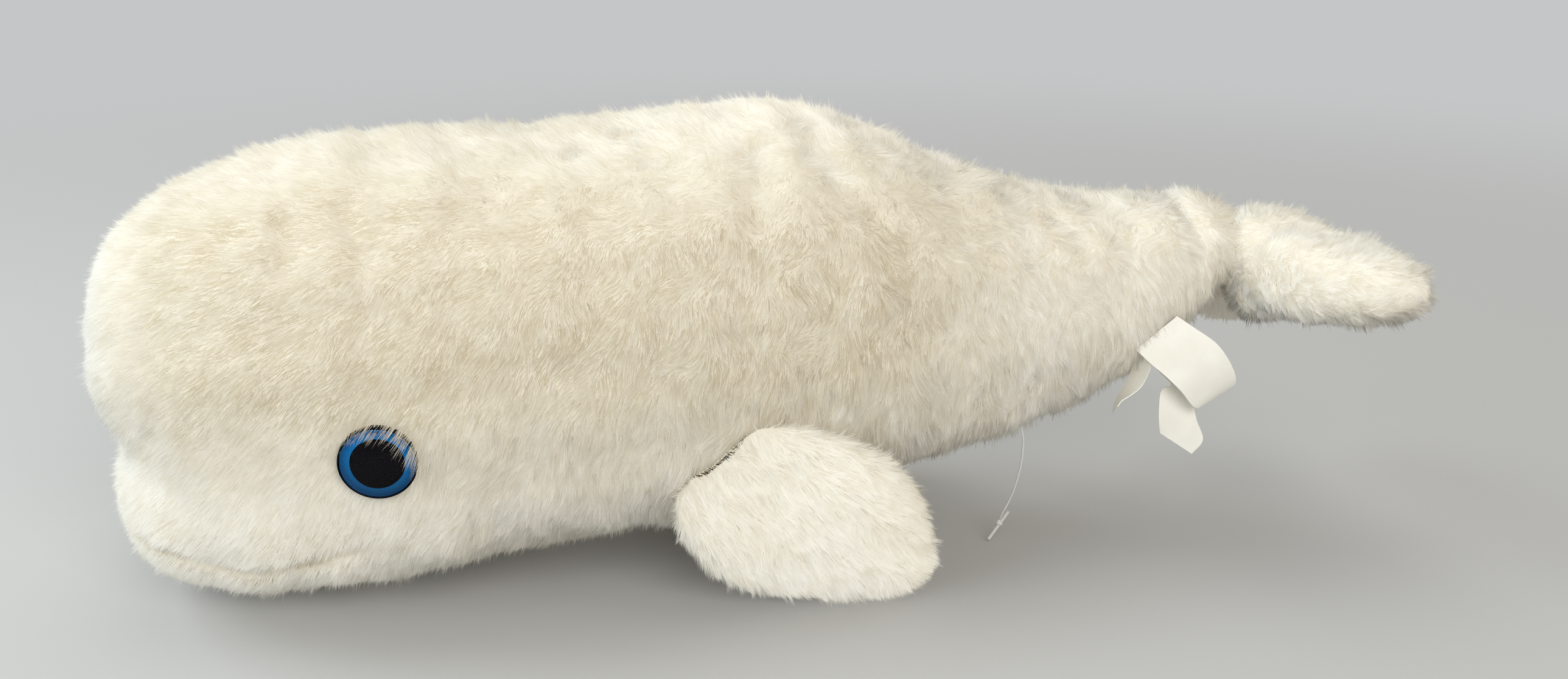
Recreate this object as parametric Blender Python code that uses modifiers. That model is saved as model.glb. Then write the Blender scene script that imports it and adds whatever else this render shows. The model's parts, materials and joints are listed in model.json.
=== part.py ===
"""White plush whale, built the way the toy is sewn.

Two side panels and a belly panel of pile fabric go round three packed lots of fill. Two flippers and
two tail flukes are stuffed paddles, each sewn from two panels round its own fill. The eyes are plastic
safety eyes, with a stem through the fabric and a washer behind it. Blank ribbon labels are sewn in below
the tail, and a plastic tag pin is left in the belly.

Metres, +Z up. The nose points along -X and the whale's left side faces -Y. The origin is on the floor,
midway between the nose and the tips of the flukes.
"""

import math
from collections import namedtuple

import bmesh
import bpy
from mathutils import Matrix, Vector

# Whole toy
OVERALL_LENGTH = 0.369
CLEARANCE = 0.0003
SEAM_GAP = 0.0006
OVERRUN = 0.02

# Body
BODY_LENGTH = 0.3345
BODY_HEIGHT = 0.1350
BODY_WIDTH = 0.1200
SKIN_THICKNESS = 0.0018
FILL_GAP = 0.0009
BROW_DEPTH = 0.0080
BROW_HEIGHT_SHARE = 0.3333
BROW_SPREAD = 0.0085
SNOUT_RISE = 0.0040
SNOUT_HEIGHT_SHARE = 0.2000
SNOUT_SPREAD = 0.0100
BROW_SPAN_SHARES = (0.0194, 0.1629)
BROW_HALF_ANGLE = math.radians(13)
BELLY_SEAM_WIDTH = 0.0009
FILL_SEAM_ANGLE = math.radians(160)

# Flippers
FLIPPER_LENGTH = 0.0705
FLIPPER_WIDTH = 0.0605
FLIPPER_THICKNESS = 0.0190
FLIPPER_SKIN = 0.0015
FLIPPER_SPAN_SHARES = (0.4511, 0.5300)
FLIPPER_FRONT_Z = 0.0383
FLIPPER_REAR_Z = 0.0627
FLIPPER_STANDOFF = 0.0023
FLIPPER_LEAN = math.radians(15)

# Tail flukes
FLUKE_SPAN = 0.0560
FLUKE_CHORD = 0.0330
FLUKE_THICKNESS = 0.0310
FLUKE_SKIN = 0.0015
FLUKE_HEIGHT_SHARE = 0.6260
FLUKE_ROOT_GAP = 0.0010
LEFT_FLUKE_RISE = math.radians(3)
RIGHT_FLUKE_RISE = math.radians(-31)
FIN_ROOT_LENGTH = 0.0230
FIN_ROOT_WIDTH = 0.0110
FIN_ROOT_HEIGHT = 0.0250
FIN_ROOT_SEAT = 0.0018

# Eyes
EYE_PLACE_SHARES = (0.2362, 0.4074)
EYE_RADIUS = 0.0101
EYE_SINK = 0.0010
EYE_RIM_WIDTH = 0.0007
EYE_RIM_HEIGHT = 0.0021
EYE_FLOOR = 0.0008
PUPIL_RADIUS = 0.0067
IRIS_THICKNESS = 0.0008
PUPIL_THICKNESS = 0.0009
LENS_RISE = 0.0028
LENS_EDGE = 0.0006
STEM_RADIUS = 0.0021
STEM_LENGTH = 0.0120
STEM_RIB_DEPTH = 0.0003
STEM_RIB_PITCH = 0.0016
STEM_RIBS = 4
WASHER_RADIUS = 0.0080
WASHER_THICKNESS = 0.0010
WASHER_DROP = 0.0032

# Labels
LABEL_THICKNESS = 0.0003
FRONT_LABEL_SIZE = (0.0155, 0.0270)
CARE_LABEL_SIZE = (0.0130, 0.0350)
REAR_LABEL_SIZE = (0.0105, 0.0250)
LABEL_SPACING = 0.0008
LABEL_STANDOFF = 0.0024
LABEL_PLACE_SHARES = (0.9073, 0.4963)
LABEL_SLOPE = math.radians(38)
FRONT_LABEL_LEAN = math.radians(45)
CARE_LABEL_LEAN = math.radians(14)
REAR_LABEL_LEAN = math.radians(-34)
CARE_LABEL_TWIST = math.radians(12)
REAR_LABEL_TWIST = math.radians(-40)

# Tag pin
PIN_DIAMETER = 0.0007
PIN_HOLE_RADIUS = 0.0008
PIN_BAR_LENGTH = 0.0106
PIN_BAR_DIAMETER = 0.0010
PIN_COLLAR_LENGTH = 0.0014
PIN_COLLAR_DIAMETER = 0.0020
PIN_ANCHOR_LENGTH = 0.0080
PIN_POCKET = 0.0016
PIN_HOLE_SHARES = (0.787743, 0.280741)
# The filament's route, from the anchor inside the belly down to the collar on the bar.
PIN_ROUTE = (
    (0.0768, -0.0140, 0.0470),
    (0.0778, -0.0145, 0.0425),
    (0.0790, -0.0150, 0.0379),
    (0.0799, -0.0150, 0.0343),
    (0.0801, -0.0149, 0.0307),
    (0.0797, -0.0145, 0.0244),
    (0.0785, -0.0138, 0.0180),
    (0.0774, -0.0130, 0.0138),
    (0.0763, -0.0124, 0.0106),
    (0.0752, -0.0124, 0.0082),
    (0.0744, -0.0133, 0.0068),
)
PIN_STEPS = 4

# The body's cage. Each row is the place along the body, the top, the bottom and the half width, as shares
# of the body's length, height, height and half width.
BODY_ROW_SHARES = (
    (0.0000, 0.545, 0.545, 0.000),
    (0.0018, 0.645, 0.420, 0.270),
    (0.0045, 0.688, 0.318, 0.385),
    (0.0110, 0.730, 0.185, 0.500),
    (0.0320, 0.797, 0.060, 0.665),
    (0.0750, 0.872, 0.004, 0.840),
    (0.1350, 0.925, -0.014, 0.960),
    (0.2090, 0.958, 0.002, 1.020),
    (0.2900, 0.961, 0.034, 1.035),
    (0.3800, 0.956, 0.082, 1.015),
    (0.4900, 0.988, 0.098, 0.975),
    (0.5900, 1.014, 0.130, 0.925),
    (0.6850, 0.904, 0.205, 0.805),
    (0.7850, 0.792, 0.262, 0.640),
    (0.8900, 0.761, 0.352, 0.480),
    (0.9550, 0.782, 0.510, 0.360),
    (0.9900, 0.745, 0.600, 0.230),
    (1.0000, 0.675, 0.675, 0.000),
)
# The height of the belly seam above the bottom, as shares of the body's height, for each row of the cage.
SEAM_RISE_SHARES = (
    0.0, 0.0, 0.0, 0.0, 0.060, 0.110, 0.140, 0.160, 0.155,
    0.130, 0.115, 0.100, 0.085, 0.090, 0.110, 0.060, 0.030, 0.0,
)
BROW_ANGLE_SHARE = 0.56
UPPER_ANGLE_SHARES = (0.0, 0.25, 0.5, 0.75, 1.0)
JAW_ROW = 3
SECTION_POWER = 2.12
CAGE_SHARE = 1.018
FILL_BROW_SHARE = 0.60
BELLY_POINT_SHARE = 0.10
FILL_ROWS = ((0, 8), (8, 12), (12, 17))

# Paddle outlines, from the front of the root round the tip: shares of the paddle's width and length.
FLIPPER_OUTLINE_SHARES = (
    (0.32, 0.02), (0.61, -0.01), (0.73, 0.22), (0.85, 0.44), (0.86, 0.68), (0.75, 0.89), (0.63, 1.12),
    (0.33, 1.10), (0.18, 0.88), (-0.00, 0.70), (-0.12, 0.48), (-0.10, 0.24), (0.01, -0.01),
)
FLIPPER_CENTRE_SHARES = (0.46, 0.45)
FLUKE_OUTLINE_SHARES = (
    (0.34, -0.01), (0.71, -0.01), (0.77, 0.15), (0.87, 0.42), (1.01, 0.71), (0.95, 0.97),
    (0.60, 1.06), (0.24, 0.94), (-0.04, 0.69), (-0.20, 0.42), (-0.18, 0.17), (-0.03, -0.01),
)
FLUKE_CENTRE_SHARES = (0.34, 0.42)
PADDLE_RINGS = ((1.0, 0.0), (1.0, 0.42), (0.78, 0.90), (0.0, 1.05))
# A stuffed paddle. Its root and its tip are shares of its thickness, and the pinch at its root lets go over
# a share of its length.
Paddle = namedtuple(
    "Paddle", "outline_shares centre_shares width length thickness skin root_share tip_share pinch_share"
)
FLIPPER = Paddle(
    FLIPPER_OUTLINE_SHARES, FLIPPER_CENTRE_SHARES,
    FLIPPER_WIDTH, FLIPPER_LENGTH, FLIPPER_THICKNESS, FLIPPER_SKIN,
    root_share=0.22, tip_share=1.00, pinch_share=0.34,
)
FLUKE = Paddle(
    FLUKE_OUTLINE_SHARES, FLUKE_CENTRE_SHARES, FLUKE_CHORD, FLUKE_SPAN, FLUKE_THICKNESS, FLUKE_SKIN,
    root_share=0.12, tip_share=0.68, pinch_share=0.28,
)
FLIPPER_INNER_SHARE = 0.36

# Each label's path, as angles away from its hanging line, towards its outer face.
FRONT_LABEL_BENDS = tuple(math.radians(a) for a in (34, 22, 6, -8, -20))
CARE_LABEL_BENDS = tuple(math.radians(a) for a in (4, 0, -6, -10, -2, 14))
REAR_LABEL_BENDS = tuple(math.radians(a) for a in (0, 4, 8, 12, 12))

SIDES = (("left", -1), ("right", 1))
NOSE_X = -OVERALL_LENGTH / 2
TURNED_STEPS = 20


def clear_scene():
    for obj in list(bpy.data.objects):
        bpy.data.objects.remove(obj)


def new_collection(name, hidden=False):
    collection = bpy.data.collections.new(name)
    collection.hide_render = hidden
    bpy.context.scene.collection.children.link(collection)
    return collection


def new_material(name, color, roughness, metallic=0.0, alpha=1.0):
    material = bpy.data.materials.new(name)
    material.use_nodes = True
    shader = material.node_tree.nodes["Principled BSDF"]
    shader.inputs["Base Color"].default_value = (*color, 1.0)
    shader.inputs["Roughness"].default_value = roughness
    shader.inputs["Metallic"].default_value = metallic
    shader.inputs["Alpha"].default_value = alpha
    material.diffuse_color = (*color, alpha)
    return material


def place(obj, collection, material=None, parent=None):
    """Links an object and gives it its material. Under a parent, its place is the parent's own frame."""
    collection.objects.link(obj)
    if material:
        obj.data.materials.append(material)
    if parent:
        obj.parent = parent
    return obj


def as_cutter(obj, collection, parent=None):
    place(obj, collection, parent=parent)
    obj.hide_render = True
    obj.display_type = "WIRE"
    return obj


def cut(obj, cutter):
    modifier = obj.modifiers.new(f"cut_{cutter.name}", "BOOLEAN")
    modifier.operation = "DIFFERENCE"
    modifier.object = cutter


def soften(obj, levels=1):
    modifier = obj.modifiers.new("smooth", "SUBSURF")
    modifier.levels = levels
    modifier.render_levels = levels


def thicken(obj, thickness):
    """Gives an open surface its thickness, inwards from its outer face."""
    modifier = obj.modifiers.new("thickness", "SOLIDIFY")
    modifier.thickness = thickness
    modifier.offset = -1
    modifier.use_even_offset = True


def shade(mesh):
    mesh.shade_smooth()
    mesh.set_sharp_from_angle(angle=math.radians(40))


def loft(name, rings, flipped=False, ring_closed=False, sharp_caps=False):
    """A mesh through rings of points. A ring of one point is a pole. sharp_caps closes the open ends flat."""
    shape = bmesh.new()
    crease = shape.edges.layers.float.new("crease_edge")
    rows = [[shape.verts.new(point) for point in ring] for ring in rings]
    for first, second in zip(rows, rows[1:]):
        count = max(len(first), len(second))
        for k in range(count if ring_closed else count - 1):
            after = (k + 1) % count
            corners = [first[k % len(first)], first[after % len(first)]]
            corners += [second[after % len(second)], second[k % len(second)]]
            face = [v for i, v in enumerate(corners) if v not in corners[:i]]
            shape.faces.new(face[::-1] if flipped else face)
    if sharp_caps:
        for row, backwards in ((rows[0], not flipped), (rows[-1], flipped)):
            if len(row) > 1:
                cap = shape.faces.new(row[::-1] if backwards else row)
                for edge in cap.edges:
                    edge[crease] = 1.0
    mesh = bpy.data.meshes.new(name)
    shape.to_mesh(mesh)
    shape.free()
    shade(mesh)
    return bpy.data.objects.new(name, mesh)


def turned(name, profile, steps=TURNED_STEPS):
    """A solid turned about local Z from a profile of (radius, height) points, run from the top down."""
    closed = profile[0][0] > 0
    mesh = bpy.data.meshes.new(name)
    edges = [(k, k + 1) for k in range(len(profile) - 1)]
    edges += [(len(profile) - 1, 0)] if closed else []
    mesh.from_pydata([(radius, 0, height) for radius, height in profile], edges, [])
    obj = bpy.data.objects.new(name, mesh)
    screw = obj.modifiers.new("turn", "SCREW")
    screw.axis = "Z"
    screw.steps = steps
    screw.render_steps = steps
    screw.use_merge_vertices = True
    screw.merge_threshold = CLEARANCE / 100
    screw.use_smooth_shade = True
    return obj


def along_body(share):
    """The X of a place along the body, given as a share of its length from the nose."""
    return NOSE_X + share * BODY_LENGTH


def body_row(index, inset=0.0):
    """(x, middle height, half height, half width, brow) of one row of the body's cage, drawn in by inset."""
    x, top, bottom, width = BODY_ROW_SHARES[index]
    half_height = (top - bottom) / 2 * BODY_HEIGHT * CAGE_SHARE
    half_width = width / 2 * BODY_WIDTH * CAGE_SHARE
    return (
        along_body(x) + inset * (1 - 2 * x),
        (top + bottom) / 2 * BODY_HEIGHT,
        max(half_height - inset, 0.0),
        max(half_width - inset, 0.0),
        BROW_DEPTH + inset * FILL_BROW_SHARE,
    )


def brow_fade(x):
    """How much of the fold under the brow is left along the body: 1 at the nose, 0 behind the head."""
    start, end = (along_body(share) for share in BROW_SPAN_SHARES)
    return max(0.0, min(1.0, (end - x) / (end - start)))


def section_point(row, angle, side):
    """A point of a row's rounded section, folded in under the brow. The angle goes from the top, 0, to pi."""
    x, middle, half_height, half_width, brow = row
    across = abs(math.sin(angle)) ** (2 / SECTION_POWER)
    up = abs(math.cos(angle)) ** (2 / SECTION_POWER) * math.copysign(1.0, math.cos(angle))
    point = Vector((x, side * half_width * across, middle + half_height * up))
    inward = (Vector((along_body(BROW_SPAN_SHARES[1]), 0, point.z)) - point).normalized()
    fold = brow * math.exp(-(((point.z - BROW_HEIGHT_SHARE * BODY_HEIGHT) / BROW_SPREAD) ** 2))
    rise = point.z - SNOUT_HEIGHT_SHARE * BODY_HEIGHT
    snout = SNOUT_RISE * math.exp(-((rise / SNOUT_SPREAD) ** 2))
    return point + inward * (fold - snout) * brow_fade(x)


def angle_at(row, height):
    """The section's angle at a height above the floor."""
    _, middle, half_height, _, _ = row
    if half_height == 0:
        return math.pi
    share = max(-1.0, min(1.0, (height - middle) / half_height))
    return math.acos(math.copysign(abs(share) ** (SECTION_POWER / 2), share))


def seam_angle(index, row):
    """Where the belly seam crosses a row. Ahead of the jaw the side panels meet under the chin."""
    if SEAM_RISE_SHARES[index] == 0:
        return math.pi
    _, middle, half_height, _, _ = row
    return angle_at(row, middle - half_height + SEAM_RISE_SHARES[index] * BODY_HEIGHT)


def side_angles(row, seam):
    """The angles of a side panel's points down a row, with three of them round the fold under the brow."""
    share = brow_fade(row[0])
    fold = angle_at(row, BROW_HEIGHT_SHARE * BODY_HEIGHT) * share + BROW_ANGLE_SHARE * math.pi * (1 - share)
    fold = min(fold, seam - 2 * BROW_HALF_ANGLE)
    above = [step * (fold - BROW_HALF_ANGLE) for step in UPPER_ANGLE_SHARES]
    below = fold + BROW_HALF_ANGLE
    return above + [fold, below, (below + seam) / 2, seam]


def side_ring(index, side, inset=0.0, lowest=math.pi):
    """A side panel's points down one row, from the top to the belly seam."""
    row = body_row(index, inset)
    if row[2] == 0 or row[3] == 0:
        return [section_point(row, 0.0, side)]
    seam = min(seam_angle(index, row), lowest)
    return [section_point(row, angle, side) for angle in side_angles(row, seam)]


def belly_ring(index, inset=0.0, lowest=math.pi, steps=4):
    """The belly panel's points across one row, from the left seam under the belly to the right seam."""
    row = body_row(index, inset)
    seam = min(seam_angle(index, row), lowest)
    if row[2] == 0 or seam == math.pi:
        return [section_point(row, math.pi, 1)]
    seam += BELLY_SEAM_WIDTH / max(row[3], BELLY_SEAM_WIDTH) if inset == 0 else 0.0
    angles = [seam + (math.pi - seam) * k * 2 / steps for k in range(steps // 2 + 1)]
    left = [section_point(row, angle, -1) for angle in angles]
    right = [section_point(row, angle, 1) for angle in angles[:-1]]
    return left + right[::-1]


def whole_ring(index, inset):
    """A full ring of the body, for the fill: down the left, under the belly and up the right."""
    left = side_ring(index, -1, inset, FILL_SEAM_ANGLE)
    if len(left) == 1:
        return left
    right = side_ring(index, 1, inset, FILL_SEAM_ANGLE)
    under = belly_ring(index, inset, FILL_SEAM_ANGLE)
    return left + under[1:-1] + right[:0:-1]


def fill_rings(first, last, inset):
    """Rings of one lot of fill. A flat end is drawn in as the skin's surface is, and clears the next lot."""
    rings = [whole_ring(index, inset) for index in range(first, last + 1)]
    for end, index, way in ((0, first, 1), (-1, last, -1)):
        if len(rings[end]) > 1:
            near = zip(whole_ring(index - 1, inset), rings[end], whole_ring(index + 1, inset))
            smooth = [(before + 6 * here + after) / 8 for before, here, after in near]
            level = sum(point.x for point in smooth) / len(smooth) + way * CLEARANCE / 2
            rings[end] = [Vector((level, point.y, point.z)) for point in smooth]
    return rings


def block_cutter(name, middle, cutters, parent=None):
    """A block far larger than the toy, to cut it off along one flat side."""
    cutter = bpy.data.objects.new(name, bpy.data.meshes.new(name))
    box = bmesh.new()
    bmesh.ops.create_cube(box, size=OVERALL_LENGTH * 2)
    bmesh.ops.translate(box, verts=box.verts, vec=middle)
    box.to_mesh(cutter.data)
    box.free()
    return as_cutter(cutter, cutters, parent)


def make_body(parts, cutters, plush, fill):
    """The three skin panels and the fill, cut flat where the toy rests on the floor."""
    floor = block_cutter("floor_cutter", (0, 0, -OVERALL_LENGTH), cutters)
    rows = range(len(BODY_ROW_SHARES))
    panels = {}
    for name, side in SIDES:
        rings = [side_ring(index, side) for index in rows]
        panel = place(loft(f"{name}_side_panel", rings, flipped=side > 0), parts, plush)
        soften(panel)
        thicken(panel, SKIN_THICKNESS)
        over = side * (SEAM_GAP / 2 - OVERALL_LENGTH)
        cut(panel, block_cutter(f"{name}_middle_cutter", (0, over, 0), cutters))
        panels[name] = panel
    rings = [belly_ring(index) for index in rows[JAW_ROW:]]
    for end, inner in ((0, 1), (-1, -2)):
        across = sum(rings[inner], Vector()) / len(rings[inner])
        rings[end] = [rings[end][0].lerp(across, BELLY_POINT_SHARE)]
    belly = place(loft("belly_panel", rings), parts, plush)
    soften(belly)
    thicken(belly, SKIN_THICKNESS)
    cut(belly, floor)
    panels["belly"] = belly
    inset = SKIN_THICKNESS + FILL_GAP
    fills = {}
    for name, (first, last) in zip(("head", "torso", "tail"), FILL_ROWS):
        rings = fill_rings(first, last, inset)
        lot = loft(f"{name}_fill", rings, ring_closed=True, sharp_caps=True)
        soften(place(lot, parts, fill))
        fills[name] = lot
    return panels, fills, floor


def frame_from(origin, along, away):
    """A matrix at origin whose X is along and whose Y is as near to away as it can be."""
    x = along.normalized()
    z = x.cross(away).normalized()
    y = z.cross(x)
    matrix = Matrix((x, y, z)).transposed().to_4x4()
    matrix.translation = origin
    return matrix


def new_empty(name, collection, matrix):
    empty = bpy.data.objects.new(name, None)
    empty.empty_display_size = EYE_RADIUS
    collection.objects.link(empty)
    empty.matrix_world = matrix
    return empty


def paddle_rings(paddle, face, swell, inset=0.0, least=0.0):
    """Rings of one face of a paddle, from its edge seam to its middle. face is its side of the plane."""
    size = Vector((paddle.width, paddle.length, 0))
    middle = Vector((*paddle.centre_shares, 0)) * size
    edge = [Vector((*share, 0)) * size for share in paddle.outline_shares]
    rings = []
    for reach, rise in PADDLE_RINGS[:1] + PADDLE_RINGS[2:] if inset else PADDLE_RINGS:
        ring = []
        for corner in edge if reach else [middle]:
            out = corner - middle
            point = middle + out.normalized() * max(out.length - inset, 0.0) * reach
            along = max(0.0, min(1.0, point.y / paddle.length))
            pinch = min(1.0, paddle.root_share + along / paddle.pinch_share * (1 - paddle.root_share))
            taper = 1 - (1 - paddle.tip_share) * along
            point.z = max(paddle.thickness / 2 * swell * pinch * taper - inset, least) * rise * face
            ring.append(point)
        rings.append(ring)
    return rings


def make_paddle(name, paddle, faces, parent, groups, plush, fill):
    """A stuffed paddle of two panels and fill. faces gives each panel's name, side and thickness share."""
    parts, cutters = groups
    made = []
    for face_name, face, swell in faces:
        rings = paddle_rings(paddle, face, swell)
        panel = loft(f"{name}_{face_name}_panel", rings, flipped=face < 0, ring_closed=True)
        place(panel, parts, plush, parent)
        soften(panel)
        thicken(panel, paddle.skin)
        beyond = (0, 0, face * (SEAM_GAP / 2 - OVERALL_LENGTH))
        cut(panel, block_cutter(f"{panel.name}_seam_cutter", beyond, cutters, parent))
        made.append(panel)
    inset = paddle.skin + FILL_GAP
    over, under = (next(swell for _, face, swell in faces if face * way > 0) for way in (1, -1))
    upper = paddle_rings(paddle, 1, over, inset, CLEARANCE * (over >= under))
    lower = paddle_rings(paddle, -1, under, inset, CLEARANCE * (under >= over))
    lot = loft(f"{name}_fill", lower[:0:-1] + upper, ring_closed=True)
    soften(place(lot, parts, fill, parent))
    made.append(lot)
    return made


def hit_on(panel, x, z, side):
    """The place on a side panel's outer face at (x, z), and the face's direction outwards."""
    graph = bpy.context.evaluated_depsgraph_get()
    start = Vector((x, side * BODY_WIDTH, z))
    found, place_hit, normal, _ = panel.evaluated_get(graph).ray_cast(start, Vector((0, -side, 0)))
    return (place_hit, normal) if found else (Vector((x, 0, z)), Vector((0, side, 0)))


def make_flippers(groups, guides, floor, panels, plush, fill):
    """Each flipper hangs from a slanting seam low on the side, leans in and stands on the floor."""
    for name, side in SIDES:
        front_x, rear_x = (along_body(share) for share in FLIPPER_SPAN_SHARES)
        front, _ = hit_on(panels[name], front_x, FLIPPER_FRONT_Z, side)
        rear, _ = hit_on(panels[name], rear_x, FLIPPER_REAR_Z, side)
        out = Vector((0, side * FLIPPER_STANDOFF, 0))
        front, rear = front + out, rear + out
        along = rear - front
        level = Vector((0, -side * math.sin(FLIPPER_LEAN), -math.cos(FLIPPER_LEAN)))
        hinge = new_empty(f"{name}_flipper_hinge", guides, frame_from(front, along, level))
        faces = (("outer", side, 1.0), ("inner", -side, FLIPPER_INNER_SHARE))
        made = make_paddle(f"{name}_flipper", FLIPPER, faces, hinge, groups, plush, fill)
        for panel in made[:-1]:
            cut(panel, floor)


def make_tail(groups, guides, plush, fill):
    """The middle of the tail fin, sewn to the blunt end of the body, and a fluke on each side of it."""
    root_start = along_body(1) + CLEARANCE
    hinge_z = FLUKE_HEIGHT_SHARE * BODY_HEIGHT
    root = bpy.data.objects.new("tail_fin_root", bpy.data.meshes.new("tail_fin_root"))
    shape = bmesh.new()
    bmesh.ops.create_uvsphere(shape, u_segments=16, v_segments=10, radius=0.5)
    size = Vector((FIN_ROOT_LENGTH, FIN_ROOT_WIDTH, FIN_ROOT_HEIGHT))
    bmesh.ops.scale(shape, verts=shape.verts, vec=size)
    shape.to_mesh(root.data)
    shape.free()
    shade(root.data)
    place(root, groups[0], plush)
    root.location = (root_start - FIN_ROOT_SEAT + FIN_ROOT_LENGTH / 2, 0, hinge_z)
    for (name, side), rise in zip(SIDES, (LEFT_FLUKE_RISE, RIGHT_FLUKE_RISE)):
        origin = Vector((root_start, side * (FIN_ROOT_WIDTH / 2 + FLUKE_ROOT_GAP), hinge_z))
        away = Vector((0, side * math.cos(rise), math.sin(rise)))
        hinge = new_empty(f"{name}_fluke_hinge", guides, frame_from(origin, Vector((1, 0, 0)), away))
        faces = (("upper", side, 1.0), ("lower", -side, 1.0))
        make_paddle(f"{name}_fluke", FLUKE, faces, hinge, groups, plush, fill)


def stem_profile():
    """The ribbed stem of the eye's back, from its head down to its tip."""
    points = [(STEM_RADIUS, 0)]
    for k in range(STEM_RIBS):
        start = -STEM_LENGTH + (STEM_RIBS - k) * STEM_RIB_PITCH
        points += [(STEM_RADIUS, start), (STEM_RADIUS - STEM_RIB_DEPTH, start)]
    return points + [(STEM_RADIUS / 2, -STEM_LENGTH), (0, -STEM_LENGTH)]


def lens_profile(base):
    """A clear dome with a flat back, as a spherical cap over a short straight edge."""
    radius = EYE_RADIUS - EYE_RIM_WIDTH - CLEARANCE
    ball = (radius**2 + LENS_RISE**2) / (2 * LENS_RISE)
    edge = math.asin(radius / ball)
    centre = base + LENS_EDGE + LENS_RISE - ball
    steps = 6
    arc = [edge * k / steps for k in range(steps + 1)]
    points = [(ball * math.sin(a), centre + ball * math.cos(a)) for a in arc]
    return points + [(radius, base), (0, base)]


def make_eyes(parts, guides, cutters, panels, fills, materials):
    """Each eye seats in a shallow flat on the side panel, its stem through the fabric and a washer behind."""
    inner = EYE_RADIUS - EYE_RIM_WIDTH
    back = [(0, EYE_FLOOR), (inner, EYE_FLOOR), (inner, EYE_RIM_HEIGHT)]
    back += [(EYE_RADIUS, EYE_RIM_HEIGHT), (EYE_RADIUS, 0)]
    paint = EYE_FLOOR + CLEARANCE
    ring_in = PUPIL_RADIUS + CLEARANCE
    ring_out = inner - CLEARANCE
    slope = IRIS_THICKNESS / 4
    iris_top = paint + IRIS_THICKNESS
    pupil_top = paint + PUPIL_THICKNESS
    lens_base = max(iris_top, pupil_top) + CLEARANCE
    hole = STEM_RADIUS + CLEARANCE
    washer_top = -WASHER_DROP
    seat_depth = EYE_SINK * 4
    pieces = {
        "back": (back + stem_profile(), "black_plastic"),
        "iris": (
            [(ring_in, iris_top), (ring_out, iris_top - slope), (ring_out, paint), (ring_in, paint)],
            "blue_plastic",
        ),
        "pupil": (
            [(0, pupil_top), (PUPIL_RADIUS, pupil_top), (PUPIL_RADIUS, paint), (0, paint)],
            "black_plastic",
        ),
        "lens": (lens_profile(lens_base), "clear_plastic"),
        "washer": (
            [
                (hole, washer_top), (WASHER_RADIUS, washer_top),
                (WASHER_RADIUS, washer_top - WASHER_THICKNESS), (hole, washer_top - WASHER_THICKNESS),
            ],
            "white_plastic",
        ),
    }
    seat = [
        (0, seat_depth), (EYE_RADIUS + CLEARANCE, seat_depth), (EYE_RADIUS + CLEARANCE, -CLEARANCE),
        (hole, -CLEARANCE), (hole, -STEM_LENGTH), (0, -STEM_LENGTH),
    ]
    room = WASHER_RADIUS + 2 * CLEARANCE
    pocket = [
        (0, seat_depth), (room, seat_depth), (room, washer_top - WASHER_THICKNESS - CLEARANCE),
        (hole, washer_top - WASHER_THICKNESS - CLEARANCE), (hole, -STEM_LENGTH - CLEARANCE),
        (0, -STEM_LENGTH - CLEARANCE),
    ]
    along, up = EYE_PLACE_SHARES
    for name, side in SIDES:
        spot, normal = hit_on(panels[name], along_body(along), up * BODY_HEIGHT, side)
        x_axis = Vector((0, 0, 1)).cross(normal).normalized()
        turn = Matrix((x_axis, normal.cross(x_axis), normal)).transposed().to_4x4()
        turn.translation = spot - normal * EYE_SINK
        axis = new_empty(f"{name}_eye_axis", guides, turn)
        for piece, (profile, material) in pieces.items():
            place(turned(f"{name}_eye_{piece}", profile), parts, materials[material], axis)
        cut(panels[name], as_cutter(turned(f"{name}_eye_seat_cutter", seat), cutters, axis))
        cut(fills["head"], as_cutter(turned(f"{name}_eye_pocket_cutter", pocket), cutters, axis))


def ribbon(name, root, across, lean, outward, size, bends, twist):
    """A short ribbon from its sewn edge, hanging at a lean in the body's plane and bent to its outer face."""
    width, length = size
    step = length / len(bends)
    hang = Vector((math.sin(lean), 0, -math.cos(lean)))
    level = Vector((math.cos(lean), 0, math.sin(lean)))
    middle = root.copy()
    rows = []
    for k, bend in enumerate((bends[0], *bends)):
        if k:
            middle = middle + (hang * math.cos(bend) + outward * math.sin(bend)) * step
        share = min(1.0, 2 * k / len(bends))
        turn = Matrix.Rotation(twist * k / len(bends), 3, hang)
        half = turn @ across.lerp(level, share).normalized() * (width / 2)
        rows.append([middle - half, middle + half])
    strip = loft(name, rows)
    soften(strip)
    thicken(strip, LABEL_THICKNESS)
    return strip


def make_labels(parts, guides, panels, satin):
    """Three blank ribbon labels, sewn in one behind another in the seam under the tail."""
    along, up = LABEL_PLACE_SHARES
    spot, normal = hit_on(panels["left"], along_body(along), up * BODY_HEIGHT, -1)
    across = Vector((math.cos(LABEL_SLOPE), 0, math.sin(LABEL_SLOPE)))
    down = Vector((math.sin(LABEL_SLOPE), 0, -math.cos(LABEL_SLOPE)))
    outward = Vector((0, -1, 0))
    root = spot + normal * LABEL_STANDOFF
    hinge = new_empty("label_hinge", guides, frame_from(root, across, down))
    rest = (
        ("front_label", FRONT_LABEL_SIZE, FRONT_LABEL_LEAN, FRONT_LABEL_BENDS, 0.0),
        ("care_label", CARE_LABEL_SIZE, CARE_LABEL_LEAN, CARE_LABEL_BENDS, CARE_LABEL_TWIST),
        ("rear_label", REAR_LABEL_SIZE, REAR_LABEL_LEAN, REAR_LABEL_BENDS, REAR_LABEL_TWIST),
    )
    back = hinge.matrix_world.inverted()
    for k, (name, size, lean, bends, twist) in enumerate(rest):
        start = root - outward * LABEL_SPACING * k
        strip = ribbon(name, start, across, lean, outward, size, bends, twist)
        strip.data.transform(back)
        place(strip, parts, satin, hinge)


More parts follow.
